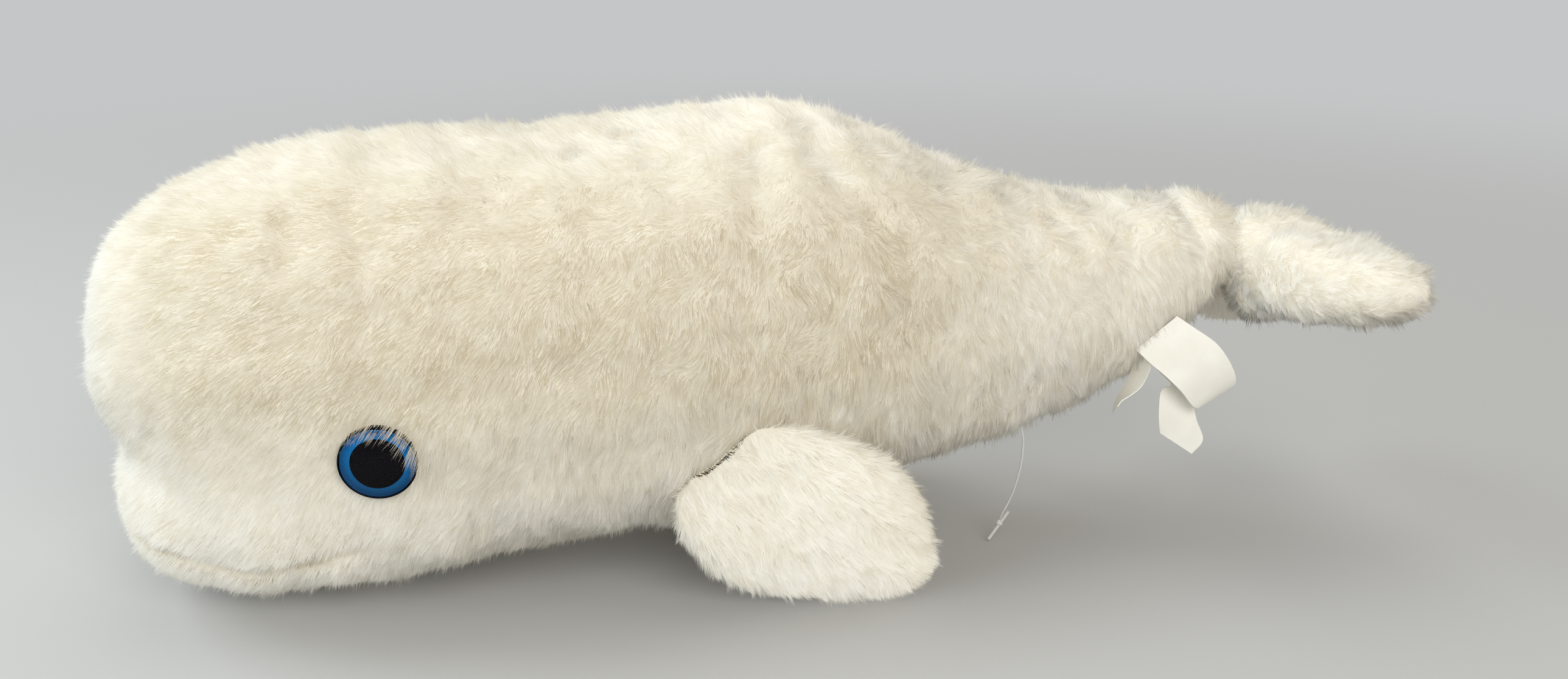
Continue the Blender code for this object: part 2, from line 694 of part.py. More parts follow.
def smooth_route(points, steps):
    """Points on a smooth curve through the route's own points."""
    places = [Vector(p) for p in points]
    places = [2 * places[0] - places[1], *places, 2 * places[-1] - places[-2]]
    made = []
    for k in range(1, len(places) - 2):
        before, start, end, after = places[k - 1 : k + 3]
        for n in range(steps):
            t = n / steps
            bend = (end - before) * t + (2 * before - 5 * start + 4 * end - after) * t**2
            bend += (3 * start - before - 3 * end + after) * t**3
            made.append(start + bend / 2)
    return [*made, places[-2]]


def pin_route():
    """The filament's route, moved along and stretched in height with the belly that it comes out of."""
    along, up = PIN_HOLE_SHARES
    hole_x, _, hole_z = PIN_ROUTE[2]
    shift = along_body(along) - hole_x
    rise = up * BODY_HEIGHT - hole_z
    return [(x + shift, y, z + rise * min(z / hole_z, 1)) for x, y, z in PIN_ROUTE]


def rod(name, start, end, diameter, segments=10):
    """A round bar between two points."""
    shape = bmesh.new()
    length = (end - start).length
    bmesh.ops.create_cone(
        shape, cap_ends=True, segments=segments, radius1=diameter / 2, radius2=diameter / 2, depth=length
    )
    mesh = bpy.data.meshes.new(name)
    shape.to_mesh(mesh)
    shape.free()
    shade(mesh)
    obj = bpy.data.objects.new(name, mesh)
    obj.matrix_world = (
        Matrix.Translation((start + end) / 2) @ (end - start).to_track_quat("Z", "Y").to_matrix().to_4x4()
    )
    return obj


def make_tag_pin(parts, cutters, panels, fills, nylon):
    """The tag pin: a bar held inside the belly, a filament out through the fabric, and its free bar."""
    points = smooth_route(pin_route(), PIN_STEPS)
    curve = bpy.data.curves.new("tag_pin_filament", "CURVE")
    curve.dimensions = "3D"
    curve.bevel_depth = PIN_DIAMETER / 2
    curve.bevel_resolution = 2
    curve.use_fill_caps = True
    spline = curve.splines.new("POLY")
    spline.points.add(len(points) - 1)
    for point, place_at in zip(spline.points, points):
        point.co = (*place_at, 1)
    place(bpy.data.objects.new("tag_pin_filament", curve), parts, nylon)

    start, end = points[0], points[-1]
    down = (end - points[-2]).normalized()
    centre = end + down * (CLEARANCE + PIN_COLLAR_LENGTH)
    lean = Vector((-math.sin(math.radians(34)), 0, -math.cos(math.radians(34))))
    half = lean * PIN_BAR_LENGTH / 2
    bar = place(rod("tag_pin_bar", centre - half, centre + half, PIN_BAR_DIAMETER), parts, nylon)
    collar = as_cutter(
        rod("tag_pin_collar", end + down * CLEARANCE, centre, PIN_COLLAR_DIAMETER), cutters
    )
    join = bar.modifiers.new("collar", "BOOLEAN")
    join.operation = "UNION"
    join.object = collar

    away = (points[0] - points[1]).normalized()
    middle = start + away * (CLEARANCE + PIN_BAR_DIAMETER / 2)
    reach = Vector((PIN_ANCHOR_LENGTH / 2, 0, 0))
    place(rod("tag_pin_anchor", middle - reach, middle + reach, PIN_BAR_DIAMETER), parts, nylon)
    out = points[3 * PIN_STEPS]
    hole = rod("tag_pin_hole_cutter", start, out, 2 * PIN_HOLE_RADIUS)
    cut(panels["belly"], as_cutter(hole, cutters))
    room = Vector((PIN_ANCHOR_LENGTH / 2 + CLEARANCE, 0, 0))
    pocket = rod("tag_pin_pocket_cutter", middle - room, middle + room, PIN_BAR_DIAMETER + 2 * PIN_POCKET)
    cut(fills["tail"], as_cutter(pocket, cutters))
    path = rod("tag_pin_path_cutter", start, start - away * OVERRUN, 2 * PIN_HOLE_RADIUS)
    cut(fills["tail"], as_cutter(path, cutters))


def main():
    clear_scene()
    parts = new_collection("plush_whale")
    guides = new_collection("hinges")
    cutters = new_collection("cutters", hidden=True)
    plush = new_material("plush_pile", (0.86, 0.82, 0.73), 0.95)
    fill = new_material("fill", (0.93, 0.93, 0.92), 1.0)
    materials = {
        "black_plastic": new_material("black_plastic", (0.01, 0.01, 0.012), 0.15),
        "blue_plastic": new_material("blue_plastic", (0.0, 0.11, 0.36), 0.3),
        "clear_plastic": new_material("clear_plastic", (0.9, 0.95, 1.0), 0.03, alpha=0.35),
        "white_plastic": new_material("white_plastic", (0.8, 0.8, 0.78), 0.4),
        "satin": new_material("satin", (0.88, 0.85, 0.78), 0.5),
        "nylon": new_material("nylon", (0.85, 0.87, 0.88), 0.25, alpha=0.7),
    }
    panels, fills, floor = make_body(parts, cutters, plush, fill)
    bpy.context.view_layer.update()
    make_flippers((parts, cutters), guides, floor, panels, plush, fill)
    make_tail((parts, cutters), guides, plush, fill)
    make_labels(parts, guides, panels, materials["satin"])
    make_eyes(parts, guides, cutters, panels, fills, materials)
    make_tag_pin(parts, cutters, panels, fills, materials["nylon"])


main()
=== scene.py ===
"""Studio scene of a white plush whale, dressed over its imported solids.

Each plush part is a soft closed form grown from its sewn panels and fill, and its pile is real strands. The eyes
are smooth turned plastic, the labels are blank woven ribbon, and the tag pin is a short cord with its bar.
Metres, +Z up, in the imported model's own frame.
"""

import json
import math

import bmesh
import bpy
import numpy as np
from mathutils import Matrix, Vector
from mathutils.bvhtree import BVHTree


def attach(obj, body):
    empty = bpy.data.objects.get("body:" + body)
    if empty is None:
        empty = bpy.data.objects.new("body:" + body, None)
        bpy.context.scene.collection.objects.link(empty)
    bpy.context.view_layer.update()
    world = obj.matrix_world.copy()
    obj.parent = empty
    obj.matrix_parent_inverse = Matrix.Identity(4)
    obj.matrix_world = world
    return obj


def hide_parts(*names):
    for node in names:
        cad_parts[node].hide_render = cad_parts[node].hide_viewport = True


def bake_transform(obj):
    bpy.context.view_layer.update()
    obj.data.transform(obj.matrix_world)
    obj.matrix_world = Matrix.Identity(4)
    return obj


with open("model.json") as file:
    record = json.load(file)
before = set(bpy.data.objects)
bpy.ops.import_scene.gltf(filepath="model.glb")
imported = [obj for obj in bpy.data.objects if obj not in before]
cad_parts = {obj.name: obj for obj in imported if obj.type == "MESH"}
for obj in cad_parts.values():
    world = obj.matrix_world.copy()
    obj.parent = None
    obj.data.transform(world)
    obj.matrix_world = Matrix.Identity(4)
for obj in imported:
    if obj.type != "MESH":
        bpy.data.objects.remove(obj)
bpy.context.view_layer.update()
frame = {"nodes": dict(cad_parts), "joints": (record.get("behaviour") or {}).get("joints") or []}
NODES = frame["nodes"]
MM = 0.001

# Colours
TIP_COLOURS = ((0.90, 0.865, 0.77), (0.945, 0.92, 0.85))
# The strands take this colour at their roots and where they are most shaded: painted shade deep in the pile
SHADED_ROOT_COLOUR = (0.58, 0.50, 0.35, 1)
# Darker than the strands' tips: painted shade between the strands
SHADED_BACKING_COLOURS = ((0.66, 0.60, 0.48), (0.76, 0.70, 0.58))
SATIN_COLOURS = ((0.84, 0.82, 0.74), (0.90, 0.885, 0.82))
IRIS_INNER_COLOUR = (0.000, 0.210, 0.580, 1)
IRIS_OUTER_COLOUR = (0.000, 0.150, 0.450, 1)
LENS_GLOSS_COLOUR = (0.20, 0.18, 0.17, 1)
EYE_BLACK_COLOUR = (0.003, 0.003, 0.005)
WASHER_COLOUR = (0.78, 0.78, 0.76)
NYLON_COLOUR = (0.86, 0.88, 0.88)
NOISE_SPREAD = (0.35, 0.65)
PLASTIC_GRAIN = 0.04
PLASTIC_IOR = 1.49
LENS_IOR = 1.38

# Camera
SENSOR_MM = 36.0
FOCAL_MM = 39.6
CAMERA_AT = (-0.0665, -0.481, 0.222)
CAMERA_PITCH = math.radians(72)
CAMERA_YAW = math.radians(-9)

# Stage
FLOOR_HALF = 12.0
FLOOR_COLOUR = (0.50, 0.505, 0.51, 1)
FLOOR_GRAIN = 0.015
BACKDROP_COLOUR = (0.56, 0.565, 0.57, 1)
BACKDROP_FROM = 0.30
BACKDROP_WHOLE = 0.95
WORLD_COLOUR = (1.0, 0.96, 0.88, 1)
WORLD_STRENGTH = 0.42
LAMP_TARGET = (0, 0, 0.05)
LAMPS = (
    ("side_light", (-1.15, -0.50, 0.50), 0.90, 6.0, (0.80, 0.90, 1.0)),
    ("window_light", (-1.00, 0.35, 0.85), 0.90, 8.0, (0.90, 0.97, 1.0)),
    ("ceiling_light", (0.10, 0.25, 1.35), 1.10, 4.0, (1.0, 0.99, 0.95)),
    ("room_light", (0.20, -1.40, 0.90), 1.20, 14.5, (1.0, 0.98, 0.93)),
)

# Plush forms
SEAM_GROWTH = 0.6 * MM
WELD = 0.005 * MM
VOXEL = 1.8 * MM
PILE_INSET = 1.4 * MM
PADDLE_INSET = 0.2 * MM
INSET_STEPS = 4
ROUTE_PITCH = 0.8 * MM
RIPPLE_WAVES = 10
UNEVENNESS = 0.45 * MM
UNEVEN_PITCH = 26 * MM

# Balls that fill each fluke's lobe out to its seam with the tail stock, each with its place and its size
FLUKE_SWELLS = {
    "left": (
        ((0.1570, -0.009, 0.0872), (18.5 * MM, 15.0 * MM, 14.5 * MM)),
        ((0.1605, -0.020, 0.0842), (19.0 * MM, 15.0 * MM, 15.0 * MM)),
        ((0.1660, -0.033, 0.0850), (17.5 * MM, 15.0 * MM, 13.5 * MM)),
        ((0.1530, -0.013, 0.0765), (10.0 * MM, 10.0 * MM, 10.0 * MM)),
    ),
    "right": (
        ((0.1545, 0.009, 0.0800), (15.5 * MM, 13.0 * MM, 12.5 * MM)),
        ((0.1590, 0.020, 0.0780), (16.5 * MM, 14.0 * MM, 12.0 * MM)),
    ),
}

# Each fluke's thickness as a share of its own, at three places along its length
THINNING_PLACES = (0.15, 0.55, 1.0)
FLUKE_THINNING = {"left": (1.0, 0.83, 0.74), "right": (1.0, 1.0, 1.0)}

# How many strands each stretch of pile has, and the seeds of their random draws
BODY_STRANDS, FLIPPER_STRANDS, FLUKE_STRANDS, TAIL_ROOT_STRANDS = 48000, 48000, 44000, 12000
BODY_SEED, FLIPPER_SEED, FLUKE_SEED, TAIL_ROOT_SEED = 100, 300, 400, 700
STRETCH_SEEDS, SIDE_SEEDS = 10, 40
PILE_SPLIT_X = (-0.120, -0.060, 0.000, 0.070)

# One strand: its size, its root below the backing, its tone at the root darkened as painted shade deep in the pile,
# the darkest that painted shade and shadow reach, and its height over the floor
STRAND_WIDTH = 0.21 * MM
WIDTH_RANGE = (0.75, 1.25)
LENGTH_RANGE = (0.75, 1.10)
LEAST_RISE = 0.42
STRAND_ROOT = 0.4 * MM
STRAND_FLATNESS = 0.7
STRAND_TURN = 0.25
ROOT_SHADED_TONE = 0.6
DARKEST_PAINTED_SHADE = -0.4
FLOOR_GAP = 0.15 * MM
FLOOR_STEP = 0.03 * MM

# How strands gather in small locks and in wider tufts, and how stray locks stand out
TUFT_PITCH, LOCK_PITCH = 3.2 * MM, 1.3 * MM
TUFT_WANDER = 0.45
LOCK_SHARE, LOCK_TUFT_SHARE = 0.25, 0.3
PULL_RANGE = (0.4, 1.0)
STRAY_SHARE = 0.12
STRAY_LONGER = 1.15
STRAY_UPRIGHT = math.radians(24)
STRAY_TUFT, STRAY_LOCK = 0.3, 0.75

# Unevenness of the pile: of its comb, lean, tone and length
COMB_NOISE = 0.14
LEAN_NOISE = math.radians(6)
SHADE_NOISE = 0.10
LOCK_TONE_LEAST, LOCK_TONE = 0.06, 0.21
LENGTH_RIPPLE, LENGTH_RIPPLE_PITCH = 0.10, 7 * MM
LEAN_RIPPLE, LEAN_RIPPLE_PITCH = math.radians(6), 8 * MM
SHADE_RIPPLE_PITCH = 9 * MM

# What turns each strand's shading normal away from the surface's own
FACING_ALONG = 0.10
FACING_SWAY, FACING_SWAY_PITCH = 0.12, 4.5 * MM
FACING_BEND, FACING_BEND_LEAST = 0.16, 0.04
FACING_NOISE = 0.04
CHIN_GLOW = (-0.25, 0.0, 0.45)
HUMP_GLOW = (0.0, -0.45, 0.15)
FLIPPER_GLOW = (-0.40, 0.0, 0.60)
FLUKE_GLOW = (-0.10, -0.30, 0.25)

# The body's pile. Each table has places along one axis, and the values there.
LENGTHS = ((-0.18, -0.13, -0.04, 0.02), (3.5 * MM, 4.0 * MM, 4.5 * MM, 4.7 * MM))
LEANS = ((-0.18, -0.04), (50.0, 55.0))
TUFT_SHARES = ((-0.13, -0.02), (0.17, 0.40))
COMB_AHEAD = ((-0.15, -0.02, 0.10), (-0.75, -0.40, -0.25))
COMB_DOWN = -0.85
COMB_SWAY = ((-0.12, -0.04), (0.12, 0.30))
COMB_SWAY_PITCH = 17 * MM
BODY_SHADE, BODY_SHADE_RIPPLE = 0.95, 0.06
# Painted shade in the strands' colour: the head and the front of the body darken from the belly up, though not at the
# tip of the nose nor towards the tail, less where the surface faces up, and hardly at all on the top of the back
PAINTED_SIDE_SHADE = 0.72
PAINTED_SHADE_BY_HEIGHT = ((0.045, 0.075), (0, 1))
PAINTED_SHADE_ALONG = ((-0.178, -0.155, 0.03, 0.07), (0, 1, 1, 0))
PAINTED_SHADE_BY_FACING = ((0.75, 0.95), (1.0, 0.3))
CHIN_BY_HEIGHT = ((0.02, 0.06), (1, 0))
CHIN_ALONG = ((-0.12, -0.06), (1, 0.15))
HUMP_BY_HEIGHT = ((0.108, 0.124), (0, 1))
HUMP_ALONG = ((-0.05, 0.0), (0, 1))
HUMP_PAINTED_LIGHT = 0.9

# The limbs' and the tail root's pile
LIMB_LENGTH, TAIL_ROOT_LENGTH = 4.6 * MM, 4.4 * MM
LIMB_LEAN = math.radians(54)
LIMB_SHADE, LIMB_SHADE_RIPPLE = 0.97, 0.05
LIMB_TUFT = 0.45
LIMB_SWAY, LIMB_SWAY_PITCH = 0.25, 15 * MM

# How far the notch below the brow stands above the sewn panels' own, and where it lies
BROW_RISE = 4.5 * MM
BROW_HEIGHT, BROW_SPREAD = 0.040, 0.014
BROW_ALONG = ((-0.176, -0.150), (1, 0))

# The mouth's seam: its groove, its shorter and more upright pile, its painted shadow and its bare line
MOUTH_REACH = 8 * MM
MOUTH_DEPTH, MOUTH_SPREAD = 2.6 * MM, 2.4 * MM
MOUTH_PILE_SPREAD, MOUTH_SHORTER, MOUTH_UPRIGHT = 3.4 * MM, 0.60, math.radians(32)
MOUTH_SHADE, MOUTH_SHADE_SPREAD, MOUTH_SHADE_REACH = 1.5, 1.2 * MM, 4 * MM
MOUTH_BARE, MOUTH_BARE_REACH = 0.45 * MM, 2 * MM
MOUTH_FADE = ((-0.124, -0.108), (1.0, 0.15))

# Its route on the left side, from the middle of the chin back to its corner
MOUTH_SEAM = (
    (-0.1745, 0.0, 0.0290), (-0.1720, -0.018, 0.0275), (-0.1675, -0.030, 0.0255), (-0.1616, -0.0380, 0.0235),
    (-0.1552, -0.0390, 0.0209), (-0.1464, -0.0408, 0.0191), (-0.1370, -0.0425, 0.0185), (-0.1286, -0.0445, 0.0205),
    (-0.1193, -0.0482, 0.0245), (-0.1090, -0.0494, 0.0275),
)

# The tag pin's filament, from the anchor inside the belly down to its bar
PIN_DIAMETER = 0.7 * MM
PIN_ROUTE = (
    (0.0768, -0.0140, 0.0470), (0.0778, -0.0145, 0.0425), (0.0790, -0.0150, 0.0379), (0.0799, -0.0150, 0.0343),
    (0.0801, -0.0149, 0.0307), (0.0797, -0.0145, 0.0244), (0.0785, -0.0138, 0.0180), (0.0774, -0.0130, 0.0138),
    (0.0763, -0.0124, 0.0106), (0.0752, -0.0124, 0.0082), (0.0744, -0.0133, 0.0068),
)

# Soft folds in the stuffed body, on the left side: each has its route, its depth and its spread
FOLDS = (
    (((-0.1290, -0.045, 0.1279), (-0.1274, -0.052, 0.1202), (-0.1290, -0.057, 0.1122)), 1.8 * MM, 3.4 * MM),
    (((-0.1118, -0.045, 0.1316), (-0.1097, -0.052, 0.1226), (-0.1055, -0.058, 0.1131)), 1.8 * MM, 3.8 * MM),
    (((0.0000, -0.030, 0.1366), (-0.0011, -0.045, 0.1282), (-0.0030, -0.055, 0.1200)), 1.8 * MM, 5.0 * MM),
    (((0.0185, -0.030, 0.1361), (0.0271, -0.045, 0.1289), (0.0330, -0.050, 0.1200)), 1.8 * MM, 5.0 * MM),
    (((0.1271, -0.006, 0.1130), (0.1280, -0.012, 0.1060), (0.1298, -0.016, 0.0887)), 1.6 * MM, 3.5 * MM),
    (((0.0893, -0.020, 0.1094), (0.0940, -0.030, 0.0940), (0.1003, -0.030, 0.0793)), 1.2 * MM, 4.5 * MM),
)

# Creases at a flipper's root, in the same form
FLIPPER_FOLDS = (
    (((-0.0221, -0.058, 0.0470), (-0.0161, -0.056, 0.0528), (-0.0076, -0.054, 0.0555), (0.0015, -0.054, 0.0560)),
     1.6 * MM, 2.4 * MM),
    (((-0.0064, -0.062, 0.0433), (0.0071, -0.060, 0.0486), (0.0187, -0.060, 0.0470)), 1.4 * MM, 2.4 * MM),
)

# How far before and after its hinge a limb's fabric bends
BEND_BEFORE = 3.0 * MM
BEND_AFTER = 18.0 * MM

# How far each eye sits along the head and up it from its seat in the solids
EYE_SHIFT = (0.6 * MM, 1.4 * MM)

# The fabric round an eye swells a little. Its pile is bare below the eye, and longer and more upright over its rim.
# A place belongs to an eye from EYE_SIDE outwards along its axis.
EYE_PAD_RADIUS, EYE_PAD_RISE, EYE_PAD_FALL = 12 * MM, 0.6 * MM, 4
EYE_SIDE, EYE_BARE_SIDE = -20 * MM, -25 * MM
EYE_BARE_RADIUS = 9.6 * MM
EYE_FUR_RADIUS, EYE_FUR_SPREAD = 10.8 * MM, 2.2 * MM
EYE_FUR_BACK, EYE_FUR_RISE = 0.6, 10 * MM
EYE_FUR_LONGER, EYE_FUR_UPRIGHT = 0.95, math.radians(20)

# The eye's turned pieces
LATHE_STEPS, DOME_STEPS, ROUNDING_STEPS = 72, 24, 4
LENS_GROWTH, LENS_EDGE = 0.3 * MM, 0.5 * MM
IRIS_RADII = (6.9 * MM, 9.2 * MM)
IRIS_GROWTH, IRIS_DROP = 0.45 * MM, 0.1 * MM
PUPIL_RISE, PUPIL_BEVEL, PUPIL_BEVEL_DROP = 1.0 * MM, 0.3 * MM, 0.25 * MM
CUP_FLOOR_DROP, CUP_DEPTH, CUP_WALL = 0.3 * MM, 2.1 * MM, 0.35 * MM
CUP_INNER_ROUND, CUP_OUTER_ROUND = 0.12 * MM, 0.20 * MM
STEM_RADIUS, STEM_RIBS, RIB_PITCH, RIB_DEPTH = 2.1 * MM, 4, 1.6 * MM, 0.3 * MM

# How deep the stretches are whose middles give a limb's root and tip
FLIPPER_ROOT_DEPTH, FLIPPER_TIP_DEPTH, FLUKE_EDGE_DEPTH = 26 * MM, 8 * MM, 2 * MM

SIDES = (("left", -1.0), ("right", 1.0))


# Materials
def new_material(name):
    material = bpy.data.materials.new(name)
    material.use_nodes = True
    tree = material.node_tree
    return material, tree, tree.nodes["Principled BSDF"]


def wire(tree, source, socket, target, into):
    tree.links.new(source.outputs[socket], target.inputs[into])


def set_values(node, **values):
    """Sets a node's own properties, and its inputs by their names with underscores for spaces."""
    for name, value in values.items():
        if hasattr(node, name):
            setattr(node, name, value)
        else:
            node.inputs[name.replace("_", " ")].default_value = value
    return node


def add_node(tree, kind, **values):
    return set_values(tree.nodes.new(kind), **values)


def on_piece(tree, kind, **values):
    """A node that reads places fixed to the piece."""
    node = add_node(tree, kind, **values)
    wire(tree, add_node(tree, "ShaderNodeTexCoord"), "Object", node, 0)
    return node


def add_object(name, data):
    obj = bpy.data.objects.new(name, data)
    bpy.context.scene.collection.objects.link(obj)
    return obj


def noise_colours(tree, scale, low, high, target, into="Base Color", detail=3.0):
    """Wires in a ramp between two colours over noise fixed to the piece."""
    noise = on_piece(tree, "ShaderNodeTexNoise", Scale=scale, Detail=detail)
    ramp = add_node(tree, "ShaderNodeValToRGB")
    for element, position, colour in zip(ramp.color_ramp.elements, NOISE_SPREAD, (low, high)):
        element.position = position
        element.color = (*colour, 1)
    wire(tree, noise, "Fac", ramp, "Fac")
    wire(tree, ramp, "Color", target, into)


def add_bump(tree, shader, height, socket, strength, distance):
    bump = add_node(tree, "ShaderNodeBump", Strength=strength, Distance=distance)
    wire(tree, height, socket, bump, "Height")
    wire(tree, bump, "Normal", shader, "Normal")


def pile_material():
    """Strands: darker and warmer at the root as painted shade deep in the pile, paler at the tip, with slow drifts of
    colour over the toy. Their strand_shade also carries the painted shade over the body and the painted shadow along
    the mouth.
    """
    material, tree, shader = new_material("plush_pile_strands")
    tree.nodes.remove(shader)
    shader = add_node(tree, "ShaderNodeBsdfDiffuse")
    wire(tree, shader, "BSDF", tree.nodes["Material Output"], "Surface")
    shade = add_node(tree, "ShaderNodeAttribute", attribute_name="strand_shade")
    mix = add_node(tree, "ShaderNodeMix", data_type="RGBA", clamp_factor=False, A=SHADED_ROOT_COLOUR)
    noise_colours(tree, 45.0, *TIP_COLOURS, mix, "B")
    wire(tree, shade, "Fac", mix, "Factor")
    wire(tree, mix, "Result", shader, "Color")
    return material


def backing_material():
    """The knitted ground below the pile, which hardly shows between the strands. Its colour, darker than the
    strands', is painted shade between them.
    """
    material, tree, shader = new_material("plush_backing")
    noise_colours(tree, 160.0, *SHADED_BACKING_COLOURS, shader, detail=6.0)
    grain = on_piece(tree, "ShaderNodeTexNoise", Scale=900.0, Detail=2.0)
    add_bump(tree, shader, grain, "Fac", 0.5, 0.3 * MM)
    set_values(shader, Roughness=0.95, Specular_IOR_Level=0.0)
    return material


def satin_material():
    """Blank woven ribbon: fine ribs across it and a faint sheen."""
    material, tree, shader = new_material("label_satin")
    noise_colours(tree, 90.0, *SATIN_COLOURS, shader)
    both = add_node(tree, "ShaderNodeMath", operation="MAXIMUM")
    for k, way in enumerate("XZ"):
        ribs = on_piece(tree, "ShaderNodeTexWave", Scale=1100.0, Distortion=0.4, bands_direction=way)
        wire(tree, ribs, "Fac", both, k)
    add_bump(tree, shader, both, "Value", 0.25, 0.1 * MM)
    set_values(shader, Roughness=0.48, Sheen_Weight=0.2)
    return material


def plastic_material(name, colour, roughness, transmission=0.0, specular=0.5):
    """Moulded plastic with a faint uneven gloss."""
    material, tree, shader = new_material(name)
    low = tuple(c * (1 - PLASTIC_GRAIN) for c in colour)
    noise_colours(tree, 240.0, low, colour, shader)
    set_values(
        shader, Roughness=roughness, Transmission_Weight=transmission, Specular_IOR_Level=specular, IOR=PLASTIC_IOR,
    )
    return material


def iris_material():
    """Blue paint behind the clear dome: deep at its outer edge and brighter inward."""
    material, tree, shader = new_material("iris_blue")
    flat = on_piece(tree, "ShaderNodeVectorMath", operation="MULTIPLY")
    flat.inputs[1].default_value = (1, 1, 0)
    radius = add_node(tree, "ShaderNodeVectorMath", operation="LENGTH")
    ramp = add_node(tree, "ShaderNodeMapRange", From_Min=IRIS_RADII[0], From_Max=IRIS_RADII[1])
    mix = add_node(tree, "ShaderNodeMix", data_type="RGBA", A=IRIS_INNER_COLOUR, B=IRIS_OUTER_COLOUR)
    wire(tree, flat, "Vector", radius, 0)
    wire(tree, radius, "Value", ramp, "Value")
    wire(tree, ramp, "Result", mix, "Factor")
    wire(tree, mix, "Result", shader, "Base Color")
    set_values(shader, Roughness=0.4, Specular_IOR_Level=0.1)
    return material


def lens_material():
    """Clear acrylic that shows the iris behind it: see-through, with its gloss by Fresnel."""
    material, tree, shader = new_material("eye_clear")
    tree.nodes.remove(shader)
    clear = add_node(tree, "ShaderNodeBsdfTransparent")
    gloss = add_node(tree, "ShaderNodeBsdfAnisotropic", Roughness=0.04, Color=LENS_GLOSS_COLOUR)
    edge = add_node(tree, "ShaderNodeFresnel", IOR=LENS_IOR)
    mix = add_node(tree, "ShaderNodeMixShader")
    wire(tree, edge, "Fac", mix, "Fac")
    wire(tree, clear, "BSDF", mix, 1)
    wire(tree, gloss, "BSDF", mix, 2)
    wire(tree, mix, "Shader", tree.nodes["Material Output"], "Surface")
    return material


# Meshes
def mesh_object(name, points, faces, material):
    """An object from arrays, with every face of the same number of corners."""
    mesh = bpy.data.meshes.new(name)
    corners = faces.shape[1]
    mesh.vertices.add(len(points))
    mesh.vertices.foreach_set("co", np.ascontiguousarray(points, np.float32).ravel())
    mesh.loops.add(faces.size)
    mesh.loops.foreach_set("vertex_index", np.ascontiguousarray(faces, np.int32).ravel())
    mesh.polygons.add(len(faces))
    mesh.polygons.foreach_set("loop_start", np.arange(len(faces), dtype=np.int32) * corners)
    mesh.polygons.foreach_set("loop_total", np.full(len(faces), corners, np.int32))
    mesh.update(calc_edges=True)
    mesh.polygons.foreach_set("use_smooth", np.ones(len(faces), bool))
    mesh.materials.append(material)
    return add_object(name, mesh)


def mesh_from(name, shape):
    mesh = bpy.data.meshes.new(name)
    shape.to_mesh(mesh)
    shape.free()
    return mesh


def give_material(obj, material):
    obj.data.materials.clear()
    obj.data.materials.append(material)


def points_of(mesh, what="co"):
    found = np.empty(len(mesh.vertices) * 3, np.float32)
    mesh.vertices.foreach_get(what, found)
    return found.reshape(-1, 3).astype(float)


def normals_of(mesh):
    return points_of(mesh, "normal")


def triangles_of(mesh):
    mesh.calc_loop_triangles()
    found = np.empty(len(mesh.loop_triangles) * 3, np.int32)
    mesh.loop_triangles.foreach_get("vertices", found)
    return found.reshape(-1, 3)


def unit(vectors):
    return vectors / np.maximum(np.linalg.norm(vectors, axis=-1, keepdims=True), 1e-12)


def ripple(points, pitch, seed):
    """A smooth random field over space, of about unit size, whose bumps lie about a pitch apart."""
    rng = np.random.default_rng(seed)
    ways = unit(rng.normal(size=(RIPPLE_WAVES, 3))) * rng.uniform(0.7, 1.4, (RIPPLE_WAVES, 1)) * (2 * math.pi / pitch)
    return np.sin(points @ ways.T + rng.uniform(0, 2 * math.pi, RIPPLE_WAVES)).sum(1) * math.sqrt(2 / RIPPLE_WAVES)


def ripples(points, pitch, seed):
    """Three such fields, as a vector at each place."""
    return np.stack([ripple(points, pitch, seed + k) for k in range(3)], 1)


def bell(away, spread):
    """A share that falls from 1 to 0 with a distance."""
    return np.exp(-((away / spread) ** 2))


def apply_modifiers(obj):
    """Replaces an object's mesh with what its modifiers make of it."""
    graph = bpy.context.evaluated_depsgraph_get()
    made = bpy.data.meshes.new_from_object(obj.evaluated_get(graph))
    old = obj.data
    obj.modifiers.clear()
    obj.data = made
    bpy.data.meshes.remove(old)


def soft_form(name, nodes, material, smoothing=8, swells=(), inset=PILE_INSET):
    """One closed soft form from a part's panels and fill: each is grown to close its seams, all are remeshed,
    and the skin is drawn in below the pile. swells are matrices that place unit balls, which fill out a sewn root."""
    shape = bmesh.new()
    for swell in swells:
        bmesh.ops.create_icosphere(shape, subdivisions=3, radius=1.0, matrix=swell)
    for node in nodes:
        part = bmesh.new()
        part.from_mesh(NODES[node].data)
        bmesh.ops.remove_doubles(part, verts=part.verts, dist=WELD)
        part.normal_update()
        for vert in part.verts:
            vert.co += vert.normal * SEAM_GROWTH
        grown = mesh_from("grown", part)
        shape.from_mesh(grown)
        bpy.data.meshes.remove(grown)
    obj = add_object(name, mesh_from(name, shape))
    remesh = obj.modifiers.new("Remesh", "REMESH")
    remesh.mode = "VOXEL"
    remesh.voxel_size = VOXEL
    add_smoothing(obj, smoothing)
    apply_modifiers(obj)
    outer_shell(obj)
    give_material(obj, material)
    for _ in range(INSET_STEPS):
        points = points_of(obj.data) - normals_of(obj.data) * ((inset + SEAM_GROWTH) / INSET_STEPS)
        set_points(obj, points)
        add_smoothing(obj, 2)
        apply_modifiers(obj)
    return obj


def add_smoothing(obj, iterations):
    smooth = obj.modifiers.new("Smooth", "SMOOTH")
    smooth.factor = 0.5
    smooth.iterations = iterations


